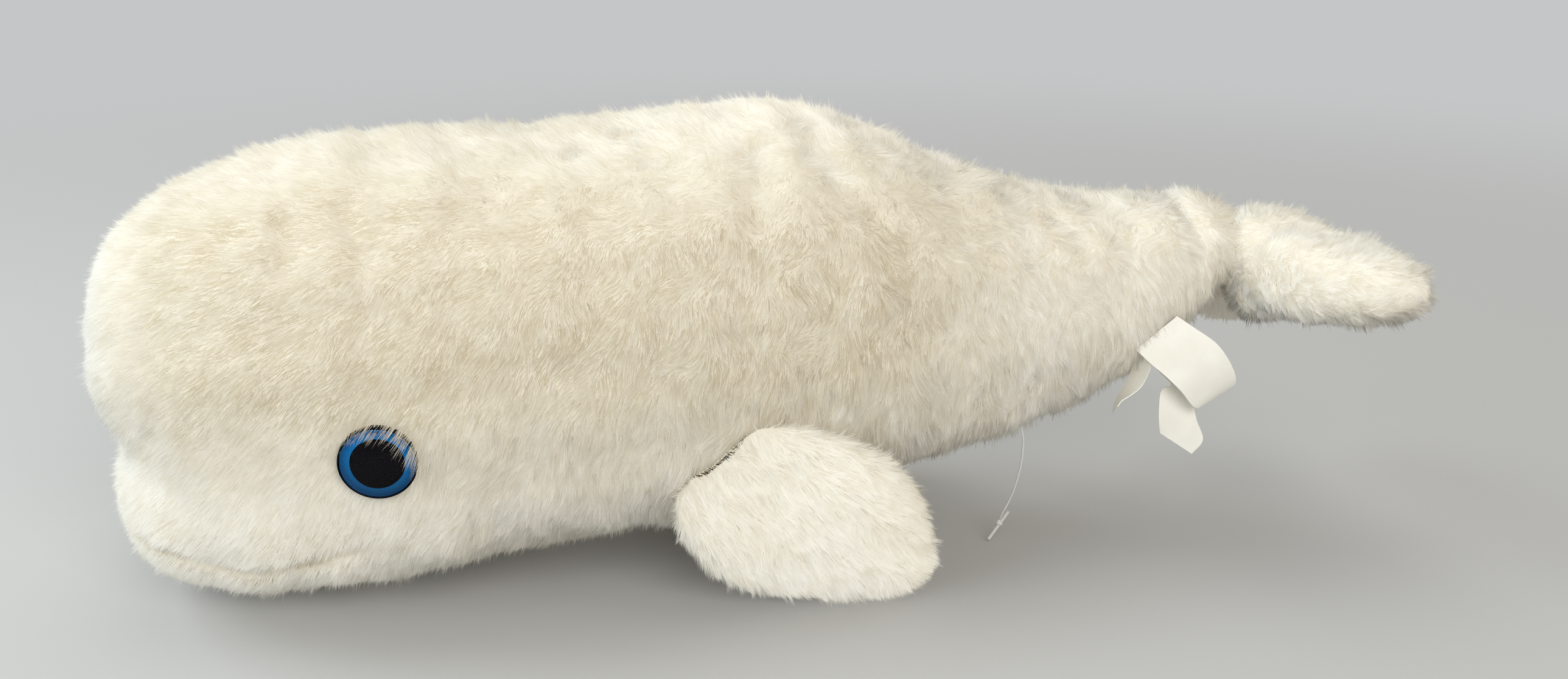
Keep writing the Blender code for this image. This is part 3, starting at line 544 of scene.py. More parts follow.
def outer_shell(obj):
    """Keeps only the largest loose part of a mesh, so that no pocket between panels is left inside."""
    shape = bmesh.new()
    shape.from_mesh(obj.data)
    seen, islands = set(), []
    for vert in shape.verts:
        if vert.index in seen:
            continue
        island, front = [], [vert]
        seen.add(vert.index)
        while front:
            here = front.pop()
            island.append(here)
            for edge in here.link_edges:
                other = edge.other_vert(here)
                if other.index not in seen:
                    seen.add(other.index)
                    front.append(other)
        islands.append(island)
    islands.sort(key=len)
    for island in islands[:-1]:
        bmesh.ops.delete(shape, geom=island, context="VERTS")
    shape.to_mesh(obj.data)
    shape.free()


def set_points(obj, points):
    obj.data.vertices.foreach_set("co", np.ascontiguousarray(points, np.float32).ravel())
    obj.data.polygons.foreach_set("use_smooth", np.ones(len(obj.data.polygons), bool))
    obj.data.update()


def seam_line(tree, route, side):
    """Points along a seam, close together and on the surface."""
    places = [Vector((x, y * -side, z)) for x, y, z in route]
    found = []
    for start, end in zip(places, places[1:]):
        steps = max(2, int((end - start).length / ROUTE_PITCH))
        found += [tree.find_nearest(start.lerp(end, k / steps))[0] for k in range(steps)]
    return np.array(found)


def folded(obj, points, folds, sides):
    """A form's points with soft folds pressed in along routes."""
    tree = BVHTree.FromObject(obj, bpy.context.evaluated_depsgraph_get())
    normals = normals_of(obj.data)
    for route, depth, spread in folds:
        for side in sides:
            away = nearest(points, seam_line(tree, route, side), 4 * spread)
            points = points - normals * (depth * bell(away, spread))[:, None]
    return points


def nearest(points, line, reach):
    """Each point's distance to a line of close points, within a reach."""
    away = np.full(len(points), 1.0)
    low, high = line.min(0) - reach, line.max(0) + reach
    near = np.flatnonzero(((points > low) & (points < high)).all(1))
    if len(near):
        gaps = line[None, :, :] - points[near][:, None, :]
        away[near] = np.linalg.norm(gaps, axis=2).min(1)
    return away


# Pile
def tangent(field, normals):
    return unit(field - normals * (field * normals).sum(1, keepdims=True))


def scatter(points, triangles, count, rng):
    """Random places on a surface by area: the triangle of each, and the weights of its corners."""
    a, b, c = (points[triangles[:, k]] for k in range(3))
    area = np.linalg.norm(np.cross(b - a, c - a), axis=1) / 2
    pick = rng.choice(len(triangles), count, p=area / area.sum())
    u, v = rng.random(count), rng.random(count)
    over = u + v > 1
    u[over], v[over] = 1 - u[over], 1 - v[over]
    return pick, np.stack([1 - u - v, u, v], 1)


def strands(name, roots, ends, up, width, shade, painted_shadow, facing, material, rng):
    """Closed tapering strands of three sides. facing gives each one's smooth shading normal. They cast no shadow
    and bounce no light, so the pile stays as soft and bright as the real one."""
    count = len(roots)
    along = unit(ends - roots)
    across = unit(np.cross(along, up + 0.01))
    over = np.cross(along, across)
    turn = rng.normal(-math.pi / 2, STRAND_TURN, count)[:, None]
    base = roots - along * STRAND_ROOT
    ring = []
    for k in range(3):
        angle = turn + k * 2 * math.pi / 3
        ring.append(base + (across * np.cos(angle) + over * (STRAND_FLATNESS * np.sin(angle))) * width[:, None] / 2)
    points = np.stack([*ring, ends], 1)
    points[..., 2] = np.maximum(points[..., 2], FLOOR_GAP + np.arange(4) * FLOOR_STEP)
    pattern = np.array([(0, 2, 1), (0, 1, 3), (1, 2, 3), (2, 0, 3)])
    faces = (pattern[None] + 4 * np.arange(count)[:, None, None]).reshape(-1, 3)
    obj = mesh_object(name, points.reshape(-1, 3), faces, material)
    obj.data.normals_split_custom_set_from_vertices(np.repeat(facing, 4, axis=0).astype(np.float32))
    obj.visible_shadow = obj.visible_diffuse = False
    obj.shadow_terminator_geometry_offset = 0.0
    # Painted shade: the three root corners take a darker tone than the tip, and the painted shadow line is taken off
    # all four
    tone = (np.stack([*[shade * ROOT_SHADED_TONE] * 3, shade], 1).clip(0, 1) - painted_shadow).clip(DARKEST_PAINTED_SHADE, 1)
    layer = obj.data.attributes.new("strand_shade", "FLOAT", "POINT")
    layer.data.foreach_set("value", tone.astype(np.float32).ravel())
    # Each strand has its own cell of the bake layout, so no two overlap
    side = math.ceil(math.sqrt(count))
    cell = np.stack([np.arange(count) % side, np.arange(count) // side], 1) / side
    spot = np.array([(0.1, 0.1), (0.5, 0.1), (0.9, 0.1), (0.5, 0.9)]) / side
    corners = cell[:, None, None, :] + spot[pattern][None]
    uv = obj.data.uv_layers.new(name="OFBake")
    uv.uv.foreach_set("vector", corners.astype(np.float32).ravel())
    return obj


def tufts(roots, pitch, seed):
    """Sorts strands into small tufts of about a pitch: each strand's tuft."""
    warp = ripples(roots, 3 * pitch, seed) * pitch * TUFT_WANDER
    cell = np.floor((roots + warp) / pitch).astype(np.int64)
    return np.unique(cell, axis=0, return_inverse=True)[1].reshape(-1)


def drawn(ends, index, share, rng):
    """Strand ends drawn together in their tufts."""
    size = np.bincount(index)
    middle = np.stack([np.bincount(index, ends[:, k]) / size for k in range(3)], 1)
    pull = share * rng.uniform(*PULL_RANGE, len(size))[index][:, None]
    return ends + (middle[index] - ends) * pull


def pile(name, form, count, seed, comb, style, material, keep=None, part=None, glow=None, paint=None):
    """Pile over a soft form. comb(places) gives its lie, and style(places, normals) gives the length, the lean from
    the surface, the tuft share and the shade (on the body it holds painted shade). keep(places) says which strands
    stay, and part(middles) which triangles bear any. glow(places) turns the shading normals towards the light, as
    light spreads through deep pile. paint(places) gives a painted shadow line, darkening the strands' colour over it."""
    rng = np.random.default_rng(seed)
    points, normals, triangles = points_of(form.data), normals_of(form.data), triangles_of(form.data)
    if part is not None:
        triangles = triangles[part(points[triangles].mean(1))]
    pick, weights = scatter(points, triangles, count, rng)
    roots = (points[triangles[pick]] * weights[:, :, None]).sum(1)
    up = unit((normals[triangles[pick]] * weights[:, :, None]).sum(1))
    if keep is not None:
        held = keep(roots)
        roots, up = roots[held], up[held]
    count = len(roots)
    flow = tangent(comb(roots) + rng.normal(0, COMB_NOISE, (count, 3)), up)
    length, lean, tuft, shade = style(roots, up)
    lock = tufts(roots, LOCK_PITCH, seed + 3)
    stray = rng.random(lock.max() + 1)[lock] < STRAY_SHARE
    length = length * rng.uniform(*LENGTH_RANGE, count) * np.where(stray, STRAY_LONGER, 1.0)
    tilt = lean + rng.normal(0, LEAN_NOISE, count) - np.where(stray, STRAY_UPRIGHT, 0)
    ends = roots + (up * np.cos(tilt)[:, None] + flow * np.sin(tilt)[:, None]) * length[:, None]
    ends = drawn(ends, tufts(roots, TUFT_PITCH, seed), tuft * np.where(stray, STRAY_TUFT, 1.0)[:, None], rng)
    ends = drawn(ends, lock, np.where(stray[:, None], STRAY_LOCK, LOCK_SHARE + LOCK_TUFT_SHARE * tuft), rng)
    rise = ((ends - roots) * up).sum(1)
    ends = ends + up * np.maximum(LEAST_RISE * length - rise, 0)[:, None]
    width = STRAND_WIDTH * rng.uniform(*WIDTH_RANGE, count)
    tone = rng.normal(0, 1, lock.max() + 1)[lock] * (LOCK_TONE_LEAST + LOCK_TONE * tuft[:, 0])
    shade = shade + rng.normal(0, SHADE_NOISE, count) + tone
    sway = ripples(roots, FACING_SWAY_PITCH, seed % 10 + 60)
    bend = rng.normal(0, 1, (lock.max() + 1, 3))[lock]
    facing = unit(
        up + unit(ends - roots) * FACING_ALONG + (sway * FACING_SWAY + bend * FACING_BEND) * tuft
        + bend * FACING_BEND_LEAST + rng.normal(0, FACING_NOISE, (count, 3))
        + (0 if glow is None else glow(roots))
    )
    painted_shadow = 0 if paint is None else np.stack([*[paint(roots)] * 3, paint(ends)], 1)
    return strands(name, roots, ends, up, width, shade, painted_shadow, facing, material, rng)


# The body
BODY_NODES = ("left_side_panel", "right_side_panel", "belly_panel", "head_fill", "torso_fill", "tail_fill")


def eye_frame(side):
    """An eye's middle and outward axis, from its washer's flat ring, as a matrix whose Z runs outward."""
    ring = points_of(NODES[f"{side}_eye_washer"].data)
    middle = (ring.min(0) + ring.max(0)) / 2
    axis = np.linalg.svd(ring - ring.mean(0), full_matrices=False)[2][2]
    axis = axis * math.copysign(1, axis[1] * dict(SIDES)[side])
    z = Vector(axis)
    x = Vector((0, 0, 1)).cross(z).normalized()
    turn = Matrix((x, z.cross(x), z)).transposed().to_4x4()
    turn.translation = Vector(middle)
    return turn


def shifted(turn):
    """An eye's frame, moved in its own plane."""
    moved = turn.copy()
    along = math.copysign(EYE_SHIFT[0], turn.col[0][0])
    moved.translation += turn.col[0].to_3d() * along + turn.col[1].to_3d() * EYE_SHIFT[1]
    return moved


CAD_EYES = {name: eye_frame(name) for name, _ in SIDES}
EYES = {name: shifted(turn) for name, turn in CAD_EYES.items()}


def eye_distance(points, side, frames=EYES):
    """How far points lie from an eye's axis, and how far out along it."""
    turn = frames[side]
    offset = points - np.array(turn.translation)
    axis = np.array(turn.col[2][:3])
    out = offset @ axis
    return np.linalg.norm(offset - out[:, None] * axis, axis=1), out


def make_body(backing):
    form = soft_form("body_plush", BODY_NODES, backing)
    points, normals = points_of(form.data), normals_of(form.data)
    tree = BVHTree.FromObject(form, bpy.context.evaluated_depsgraph_get())
    lines = [seam_line(tree, MOUTH_SEAM, side) for _, side in SIDES]
    for line in lines:
        away = nearest(points, line, MOUTH_REACH)
        deep = MOUTH_DEPTH * mouth_fade(points) * bell(away, MOUTH_SPREAD)
        points = points - normals * deep[:, None]
    points = folded(form, points, FOLDS, [side for _, side in SIDES])
    for name, _ in SIDES:
        away, out = eye_distance(points, name)
        near = np.exp(-((away / EYE_PAD_RADIUS) ** EYE_PAD_FALL)) * (out > EYE_SIDE)
        points = points + normals * (EYE_PAD_RISE * near)[:, None]
    points = points + normals * (UNEVENNESS * ripple(points, UNEVEN_PITCH, 3))[:, None]
    brow = bell(points[:, 2] - BROW_HEIGHT, BROW_SPREAD) * np.interp(points[:, 0], *BROW_ALONG)
    points[:, 2] += BROW_RISE * brow
    set_points(form, points)
    return form, lines


def mouth_fade(points):
    """The mouth's seam dies away towards its corner."""
    return np.interp(points[:, 0], *MOUTH_FADE)


def body_comb(points):
    """The pile runs down the sides, and a little towards the nose."""
    sway = np.interp(points[:, 0], *COMB_SWAY)[:, None]
    ahead = np.interp(points[:, 0], *COMB_AHEAD)
    lie = np.stack([ahead, np.zeros(len(points)), np.full(len(points), COMB_DOWN)], 1)
    return lie + ripples(points, COMB_SWAY_PITCH, 31) * sway


def body_style(lines):
    def style(points, normals):
        x = points[:, 0]
        length = np.interp(x, *LENGTHS) * (1 + LENGTH_RIPPLE * ripple(points, LENGTH_RIPPLE_PITCH, 5))
        lean = np.radians(np.interp(x, *LEANS)) + LEAN_RIPPLE * ripple(points, LEAN_RIPPLE_PITCH, 6)
        # Painted shade: darker from the belly up on the head and front of the body, less where the surface faces up
        # and on the top of the back
        painted_shade = np.interp(points[:, 2], *PAINTED_SHADE_BY_HEIGHT) * np.interp(x, *PAINTED_SHADE_ALONG)
        painted_shade = painted_shade * np.interp(normals[:, 2], *PAINTED_SHADE_BY_FACING) * (1 - HUMP_PAINTED_LIGHT * hump_top(points))
        shade = BODY_SHADE - PAINTED_SIDE_SHADE * painted_shade + BODY_SHADE_RIPPLE * ripple(points, SHADE_RIPPLE_PITCH, 7)
        for line in lines:
            near = bell(nearest(points, line, MOUTH_REACH), MOUTH_PILE_SPREAD) * mouth_fade(points)
            length = length * (1 - MOUTH_SHORTER * near)
            lean = lean - MOUTH_UPRIGHT * near
        for name, _ in SIDES:
            away, out = eye_distance(points, name)
            above = points - np.array(EYES[name].translation)
            over = np.clip((above[:, 2] + EYE_FUR_BACK * above[:, 0]) / EYE_FUR_RISE, 0, 1)
            over = over * bell(away - EYE_FUR_RADIUS, EYE_FUR_SPREAD) * (out > EYE_SIDE)
            length = length * (1 + EYE_FUR_LONGER * over)
            lean = lean - EYE_FUR_UPRIGHT * over
        return length, lean, np.interp(x, *TUFT_SHARES)[:, None], shade
    return style


def mouth_shadow(lines):
    # A painted shadow along each side's mouth seam, taken off the strands' tone
    def paint(points):
        away = np.minimum(*(nearest(points, line, MOUTH_SHADE_REACH) for line in lines))
        return MOUTH_SHADE * mouth_fade(points) * bell(away, MOUTH_SHADE_SPREAD)
    return paint


def hump_top(points):
    """How far places belong to the top of the back."""
    return np.interp(points[:, 2], *HUMP_BY_HEIGHT) * np.interp(points[:, 0], *HUMP_ALONG)


def body_glow(points):
    chin = np.interp(points[:, 2], *CHIN_BY_HEIGHT) * np.interp(points[:, 0], *CHIN_ALONG)
    return chin[:, None] * np.array(CHIN_GLOW) + hump_top(points)[:, None] * np.array(HUMP_GLOW)


def clear_of(lines):
    """No strand is rooted below an eye, or in the mouth's seam."""
    def keep(points):
        clear = np.ones(len(points), bool)
        for name, _ in SIDES:
            away, out = eye_distance(points, name)
            clear &= (away > EYE_BARE_RADIUS) | (out < EYE_BARE_SIDE)
        for line in lines:
            clear &= nearest(points, line, MOUTH_BARE_REACH) > MOUTH_BARE * mouth_fade(points)
        return clear
    return keep


def body_part(side, low, high):
    """The stretch of one side between two places along the body."""
    def part(middles):
        return (middles[:, 1] * side >= 0) & (middles[:, 0] >= low) & (middles[:, 0] < high)
    return part


def dress_body(backing, strand):
    form, lines = make_body(backing)
    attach(form, "body")
    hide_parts(*BODY_NODES)
    bounds = (-1.0, *PILE_SPLIT_X, 1.0)
    stretches = tuple(zip(("nose", "head", "shoulder", "flank", "tail"), bounds, bounds[1:]))
    seed = BODY_SEED
    for side, sign in SIDES:
        for name, low, high in stretches:
            made = pile(
                f"{side}_{name}_pile", form, BODY_STRANDS, seed, body_comb, body_style(lines), strand,
                keep=clear_of(lines), part=body_part(sign, low, high), glow=body_glow, paint=mouth_shadow(lines),
            )
            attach(made, "body")
            seed += STRETCH_SEEDS


def dress_tail_root(backing, strand):
    form = soft_form("tail_root_plush", ("tail_fin_root",), backing, smoothing=4)
    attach(form, "body")
    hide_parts("tail_fin_root")

    def comb(points):
        return np.tile(np.array([1.0, 0.0, -0.2]), (len(points), 1))

    made = pile(
        "tail_root_pile", form, TAIL_ROOT_STRANDS, TAIL_ROOT_SEED, comb, plain_style(TAIL_ROOT_LENGTH), strand,
    )
    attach(made, "body")


def plain_style(size):
    def style(points, normals):
        length = size * (1 + LENGTH_RIPPLE * ripple(points, LENGTH_RIPPLE_PITCH, 15))
        lean = LIMB_LEAN + LEAN_RIPPLE * ripple(points, LEAN_RIPPLE_PITCH, 16)
        shade = LIMB_SHADE + LIMB_SHADE_RIPPLE * ripple(points, SHADE_RIPPLE_PITCH, 17)
        return length, lean, np.full((len(points), 1), LIMB_TUFT), shade
    return style


def dress_paddle(name, nodes, joint, root, tip, count, seed, materials, glow, swells=(), folds=(), side=1,
                 thinning=None):
    """A stuffed flipper or fluke. materials are the backing's and the strands', and glow is where the shading normals
    lean."""
    backing, strand = materials
    form = soft_form(f"{name}_plush", nodes, backing, smoothing=6, swells=swells, inset=PADDLE_INSET)
    set_points(form, folded(form, points_of(form.data), folds, [side]))
    if thinning is not None:
        set_points(form, thinned(points_of(form.data), thinning))
    way = unit(np.array(tip) - np.array(root))

    def comb(points):
        return way + ripples(points, LIMB_SWAY_PITCH, seed) * LIMB_SWAY

    made = pile(
        f"{name}_pile", form, count, seed + 5, comb, plain_style(LIMB_LENGTH), strand,
        glow=lambda points: np.array(glow),
    )
    start, end = across_hinge(joint, Vector(points_of(form.data).mean(0)))
    for piece in (form, made):
        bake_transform(piece)
        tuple(start)
        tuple(end)
    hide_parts(*nodes)


def thinned(points, shares):
    """A lobe made thinner along X, about its own middle line."""
    x = points[:, 0]
    middle = np.polyval(np.polyfit(x, points[:, 2], 1), x)
    share = np.interp((x - x.min()) / np.ptp(x), THINNING_PLACES, shares)
    made = points.copy()
    made[:, 2] = middle + (points[:, 2] - middle) * share
    return made


def across_hinge(joint, middle):
    """Where a limb's fabric starts to turn, and where it turns with the limb: square to its hinge."""
    hinge, axis = Vector(joint["pos_m"]), Vector(joint["axis"]).normalized()
    seat = hinge + axis * (middle - hinge).dot(axis)
    way = (middle - seat).normalized()
    return seat - way * BEND_BEFORE, seat + way * BEND_AFTER


def limb(side, kind, pieces):
    """A limb's nodes, and all their points."""
    nodes = tuple(f"{side}_{kind}_{piece}" for piece in pieces)
    return nodes, np.concatenate([points_of(NODES[node].data) for node in nodes])


def dress_paddles(*materials):
    joints = {joint["child"]: joint for joint in frame["joints"]}
    for k, (side, sign) in enumerate(SIDES):
        nodes, points = limb(side, "flipper", ("outer_panel", "inner_panel", "fill"))
        root = points[points[:, 2] > points[:, 2].max() - FLIPPER_ROOT_DEPTH].mean(0)
        tip = points[points[:, 0] > points[:, 0].max() - FLIPPER_TIP_DEPTH].mean(0)
        dress_paddle(
            f"{side}_flipper", nodes, joints[f"{side}_flipper"], root, tip, FLIPPER_STRANDS,
            FLIPPER_SEED + SIDE_SEEDS * k, materials, FLIPPER_GLOW, folds=FLIPPER_FOLDS, side=sign,
        )
        nodes, points = limb(side, "fluke", ("upper_panel", "lower_panel", "fill"))
        across = points[:, 1] * sign
        root = points[across < across.min() + FLUKE_EDGE_DEPTH].mean(0)
        tip = points[across > across.max() - FLUKE_EDGE_DEPTH].mean(0)
        dress_paddle(
            f"{side}_fluke", nodes, joints[f"{side}_fluke"], root, tip, FLUKE_STRANDS,
            FLUKE_SEED + SIDE_SEEDS * k, materials, FLUKE_GLOW, swells=fluke_swells(side),
            thinning=FLUKE_THINNING[side],
        )


def fluke_swells(side):
    """Matrices for the balls that fill a lobe out to its seam with the tail stock."""
    return [Matrix.Translation(place) @ Matrix.Diagonal((*size, 1)) for place, size in FLUKE_SWELLS[side]]


# The eyes
def lathe(name, profile, material, matrix):
    """A turned piece round the local Z axis, from points of radius and height, outside first."""
    angles = np.arange(LATHE_STEPS) * (2 * math.pi / LATHE_STEPS)
    points, index = [], []
    for radius, height in profile:
        if radius < 1e-7:
            index.append([len(points)] * LATHE_STEPS)
            points.append((0, 0, height))
        else:
            index.append(list(range(len(points), len(points) + LATHE_STEPS)))
            points += [(radius * math.cos(a), radius * math.sin(a), height) for a in angles]
    shape = bmesh.new()
    verts = [shape.verts.new(p) for p in points]
    for above, below in zip(index, index[1:]):
        for k in range(LATHE_STEPS):
            n = (k + 1) % LATHE_STEPS
            corners = [above[k], below[k], below[n], above[n]]
            kept = [c for i, c in enumerate(corners) if c not in corners[:i]]
            if len(kept) > 2:
                shape.faces.new([verts[c] for c in kept])
    bmesh.ops.recalc_face_normals(shape, faces=shape.faces)
    mesh = mesh_from(name, shape)
    mesh.shade_smooth()
    mesh.set_sharp_from_angle(angle=math.radians(40))
    mesh.materials.append(material)
    obj = add_object(name, mesh)
    obj.matrix_world = matrix
    return obj


def turned_extent(node, side):
    """A turned node's largest and smallest radius, and its lowest and highest place on its eye's axis."""
    points = points_of(NODES[node].data)
    radius, out = eye_distance(points, side, CAD_EYES)
    return radius.max(), radius.min(), out.min(), out.max()


def rounded(corner, before, after, size):
    """An arc in place of a profile's corner."""
    corner, before, after = (Vector(p) for p in (corner, before, after))
    start = corner + (before - corner).normalized() * size
    end = corner + (after - corner).normalized() * size
    shares = [k / ROUNDING_STEPS for k in range(ROUNDING_STEPS + 1)]
    return [tuple(start.lerp(corner, t).lerp(corner.lerp(end, t), t)) for t in shares]


def dome(reach, low, high):
    """The lens: a ball's cap over a flat base."""
    reach += LENS_GROWTH
    rise = high - (low + LENS_EDGE)
    ball = (reach**2 + rise**2) / (2 * rise)
    arc = [math.asin(reach / ball) * k / DOME_STEPS for k in range(DOME_STEPS + 1)]
    return [*((ball * math.sin(a), high - ball + ball * math.cos(a)) for a in arc), (reach, low), (0, low)]


def cup(outer, tip, rim, floor):
    """The eye's back: an open cup on a ribbed stem."""
    seat, inside = rim - CUP_DEPTH, outer - CUP_WALL
    profile = [(0, floor), (inside, floor)]
    profile += rounded((inside, rim), (inside, floor), (outer, rim), CUP_INNER_ROUND)
    profile += rounded((outer, rim), (inside, rim), (outer, seat), CUP_OUTER_ROUND)
    profile += [(outer, seat), (STEM_RADIUS, seat)]
    for k in range(STEM_RIBS):
        step = tip + (STEM_RIBS - k) * RIB_PITCH
        profile += [(STEM_RADIUS, step), (STEM_RADIUS - RIB_DEPTH, step)]
    return profile + [(STEM_RADIUS / 2, tip), (0, tip)]


def dress_eyes(materials):
    for side, _ in SIDES:
        def dress(node, name, profile, material):
            piece = lathe(f"{side}_{name}", profile, materials[material], EYES[side])
            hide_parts(f"{side}_{node}")
            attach(piece, "body")

        reach, _, low, high = turned_extent(f"{side}_eye_lens", side)
        dress("eye_lens", "eye_dome", dome(reach, low, high), "lens")

        outer, inner, base, top = turned_extent(f"{side}_eye_iris", side)
        outer += IRIS_GROWTH
        ring = [(inner, top), (outer, top - IRIS_DROP), (outer, base), (inner, base), (inner, top)]
        dress("eye_iris", "eye_iris_ring", ring, "iris")

        outer, _, base, top = turned_extent(f"{side}_eye_pupil", side)
        top += PUPIL_RISE
        disc = [(0, top), (outer - PUPIL_BEVEL, top), (outer, top - PUPIL_BEVEL_DROP), (outer, base), (0, base)]
        dress("eye_pupil", "eye_pupil_disc", disc, "black")

        outer, _, tip, rim = turned_extent(f"{side}_eye_back", side)
        dress("eye_back", "eye_cup", cup(outer, tip, rim, base - CUP_FLOOR_DROP), "black")
        give_material(NODES[f"{side}_eye_washer"], materials["white"])


# The labels: each one's flat size, and its left and right border from the seam to its free end
LABEL_THICKNESS = 0.22 * MM
LABELS = (
    ("front_label", (0.0146, 0.0333), (
        ((0.1089, -0.0270, 0.0643), (0.1208, -0.0270, 0.0739)),
        ((0.1127, -0.0290, 0.0607), (0.1260, -0.0290, 0.0704)),
        ((0.1174, -0.0306, 0.0567), (0.1317, -0.0306, 0.0664)),
        ((0.1218, -0.0314, 0.0524), (0.1359, -0.0312, 0.0611)),
        ((0.1263, -0.0306, 0.0471), (0.1391, -0.0298, 0.0552)),
        ((0.1296, -0.0282, 0.0459), (0.1397, -0.0274, 0.0515)),
        ((0.1273, -0.0269, 0.0480), (0.1366, -0.0266, 0.0518)),
    )),
    ("care_label", (0.0115, 0.0334), (
        ((0.1131, -0.0252, 0.0609), (0.1220, -0.0252, 0.0679)),
        ((0.1177, -0.0248, 0.0560), (0.1259, -0.0244, 0.0596)),
        ((0.1215, -0.0246, 0.0519), (0.1282, -0.0226, 0.0516)),
        ((0.1183, -0.0254, 0.0508), (0.1289, -0.0244, 0.0453)),
        ((0.1175, -0.0264, 0.0459), (0.1297, -0.0260, 0.0408)),
        ((0.1177, -0.0266, 0.0414), (0.1319, -0.0266, 0.0347)),
        ((0.1185, -0.0262, 0.0375), (0.1288, -0.0264, 0.0303)),
    )),
    ("rear_label", (0.0100, 0.0178), (
        ((0.1113, -0.0200, 0.0608), (0.1139, -0.0280, 0.0621)),
        ((0.1108, -0.0202, 0.0563), (0.1129, -0.0284, 0.0578)),
        ((0.1090, -0.0206, 0.0520), (0.1108, -0.0288, 0.0536)),
        ((0.1069, -0.0210, 0.0484), (0.1079, -0.0290, 0.0512)),
        ((0.1053, -0.0216, 0.0456), (0.1049, -0.0294, 0.0496)),
        ((0.1048, -0.0224, 0.0433), (0.1035, -0.0296, 0.0479)),
    )),
)
LABEL_COLUMNS = 8
LABEL_ROW_STEPS = 6
PIN_STEPS = 4


def ribbon(name, rows, material):
    """A closed strip of an even thickness between its two borders."""
    borders = [np.array(smooth_route([row[k] for row in rows], LABEL_ROW_STEPS)) for k in range(2)]
    share = np.linspace(0, 1, LABEL_COLUMNS)[None, :, None]
    grid = borders[0][:, None] * (1 - share) + borders[1][:, None] * share
    out = unit(np.cross(np.gradient(grid, axis=0), np.gradient(grid, axis=1)))
    points = np.concatenate([(grid + out * (LABEL_THICKNESS / 2 * way)).reshape(-1, 3) for way in (1, -1)])
    long, wide = grid.shape[:2]
    index = np.arange(long * wide).reshape(long, wide)
    front = np.stack([index[:-1, :-1], index[1:, :-1], index[1:, 1:], index[:-1, 1:]], -1).reshape(-1, 4)
    back = front[:, ::-1] + long * wide
    loop = np.concatenate([index[0, :-1], index[:-1, -1], index[-1, :0:-1], index[:0:-1, 0]])
    after = np.roll(loop, -1)
    rim = np.stack([loop, after, after + long * wide, loop + long * wide], -1)
    obj = mesh_object(name, points, np.concatenate([front, back, rim]), material)
    obj.data.set_sharp_from_angle(angle=math.radians(50))
    return obj


def dress_labels(satin):
    for name, flat, rows in LABELS:
        strip = ribbon(f"{name}_ribbon", rows, satin)
        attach(strip, "labels")
        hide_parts(name)


# The tag pin
def dress_tag_pin(nylon):
    curve = bpy.data.curves.new("tag_pin_thread", "CURVE")
    curve.dimensions = "3D"
    curve.bevel_depth = PIN_DIAMETER / 2
    curve.bevel_resolution = 4
    curve.use_fill_caps = True
    spline = curve.splines.new("POLY")
    route = smooth_route(PIN_ROUTE, PIN_STEPS)
    spline.points.add(len(route) - 1)
    for point, place in zip(spline.points, route):
        point.co = (*place, 1)
    curve.materials.append(nylon)
    thread = add_object("tag_pin_thread", curve)
    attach(thread, "body")
    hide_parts("tag_pin_filament")
    length = sum((b - a).length for a, b in zip(route, route[1:]))
    for node in ("tag_pin_bar", "tag_pin_anchor"):
        give_material(NODES[node], nylon)


def smooth_route(points, steps):
    """Points on a smooth curve through the route's own points."""
    places = [Vector(p) for p in points]
    places = [2 * places[0] - places[1], *places, 2 * places[-1] - places[-2]]
    made = []
    for k in range(1, len(places) - 2):
        before, start, end, after = places[k - 1 : k + 3]
        for n in range(steps):
            t = n / steps
            bend = (end - before) * t + (2 * before - 5 * start + 4 * end - after) * t**2
            bend += (3 * start - before - 3 * end + after) * t**3
            made.append(start + bend / 2)
    return [*made, places[-2]]


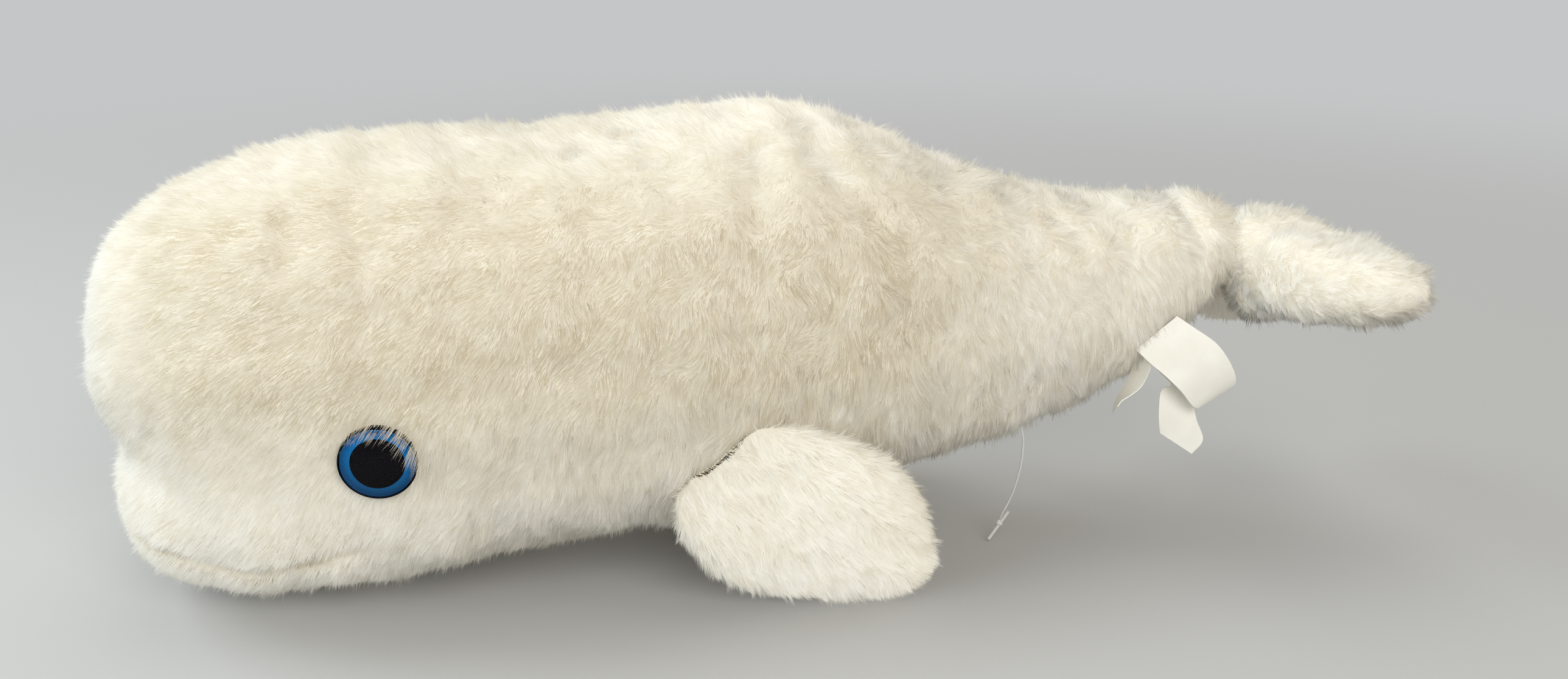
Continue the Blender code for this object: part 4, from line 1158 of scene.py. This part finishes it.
# The stage
def make_stage():
    shape = bmesh.new()
    bmesh.ops.create_grid(shape, x_segments=4, y_segments=4, size=FLOOR_HALF)
    mesh = mesh_from("studio_floor", shape)
    material, tree, shader = new_material("studio_floor")
    low = tuple(c * (1 - FLOOR_GRAIN) for c in FLOOR_COLOUR[:3])
    noise_colours(tree, 3.0, low, FLOOR_COLOUR[:3], shader)
    set_values(shader, Roughness=0.7)
    reach = on_piece(tree, "ShaderNodeVectorMath", operation="LENGTH")
    far = add_node(
        tree, "ShaderNodeMapRange", interpolation_type="SMOOTHSTEP", From_Min=BACKDROP_FROM, From_Max=BACKDROP_WHOLE,
    )
    path = add_node(tree, "ShaderNodeLightPath")
    seen = add_node(tree, "ShaderNodeMath", operation="MULTIPLY")
    glow = add_node(tree, "ShaderNodeEmission", Color=BACKDROP_COLOUR)
    mix = add_node(tree, "ShaderNodeMixShader")
    wire(tree, reach, "Value", far, "Value")
    wire(tree, far, "Result", seen, 0)
    wire(tree, path, "Is Camera Ray", seen, 1)
    wire(tree, seen, "Value", mix, "Fac")
    wire(tree, shader, "BSDF", mix, 1)
    wire(tree, glow, "Emission", mix, 2)
    wire(tree, mix, "Shader", tree.nodes["Material Output"], "Surface")
    mesh.materials.append(material)
    add_object("studio_floor", mesh)


def make_lights():
    world = bpy.data.worlds.new("studio")
    world.use_nodes = True
    set_values(world.node_tree.nodes["Background"], Color=WORLD_COLOUR, Strength=WORLD_STRENGTH)
    bpy.context.scene.world = world
    for name, place, size, power, colour in LAMPS:
        lamp = bpy.data.lights.new(name, "AREA")
        lamp.shape = "DISK"
        lamp.size = size
        lamp.energy = power
        lamp.color = colour
        lamp.cycles.use_multiple_importance_sampling = False
        obj = add_object(name, lamp)
        obj.location = place
        obj.rotation_euler = (Vector(LAMP_TARGET) - Vector(place)).to_track_quat("-Z", "Y").to_euler()


def make_camera():
    data = bpy.data.cameras.new("camera")
    data.sensor_width = SENSOR_MM
    data.lens = FOCAL_MM
    data.clip_start = 0.01
    camera = add_object("camera", data)
    camera.location = CAMERA_AT
    camera.rotation_euler = (CAMERA_PITCH, 0, CAMERA_YAW)
    bpy.context.scene.camera = camera


def main():
    bpy.context.scene.view_settings.view_transform = "Standard"
    make_camera()
    make_stage()
    make_lights()
    nylon = plastic_material("tag_pin_nylon", NYLON_COLOUR, 0.30, transmission=0.25)
    dress_tag_pin(nylon)
    backing, strand = backing_material(), pile_material()
    dress_body(backing, strand)
    dress_tail_root(backing, strand)
    dress_paddles(backing, strand)
    dress_eyes({
        "lens": lens_material(),
        "iris": iris_material(),
        "black": plastic_material("eye_black", EYE_BLACK_COLOUR, 0.35, specular=0.05),
        "white": plastic_material("washer_white", WASHER_COLOUR, 0.5),
    })
    dress_labels(satin_material())


main()
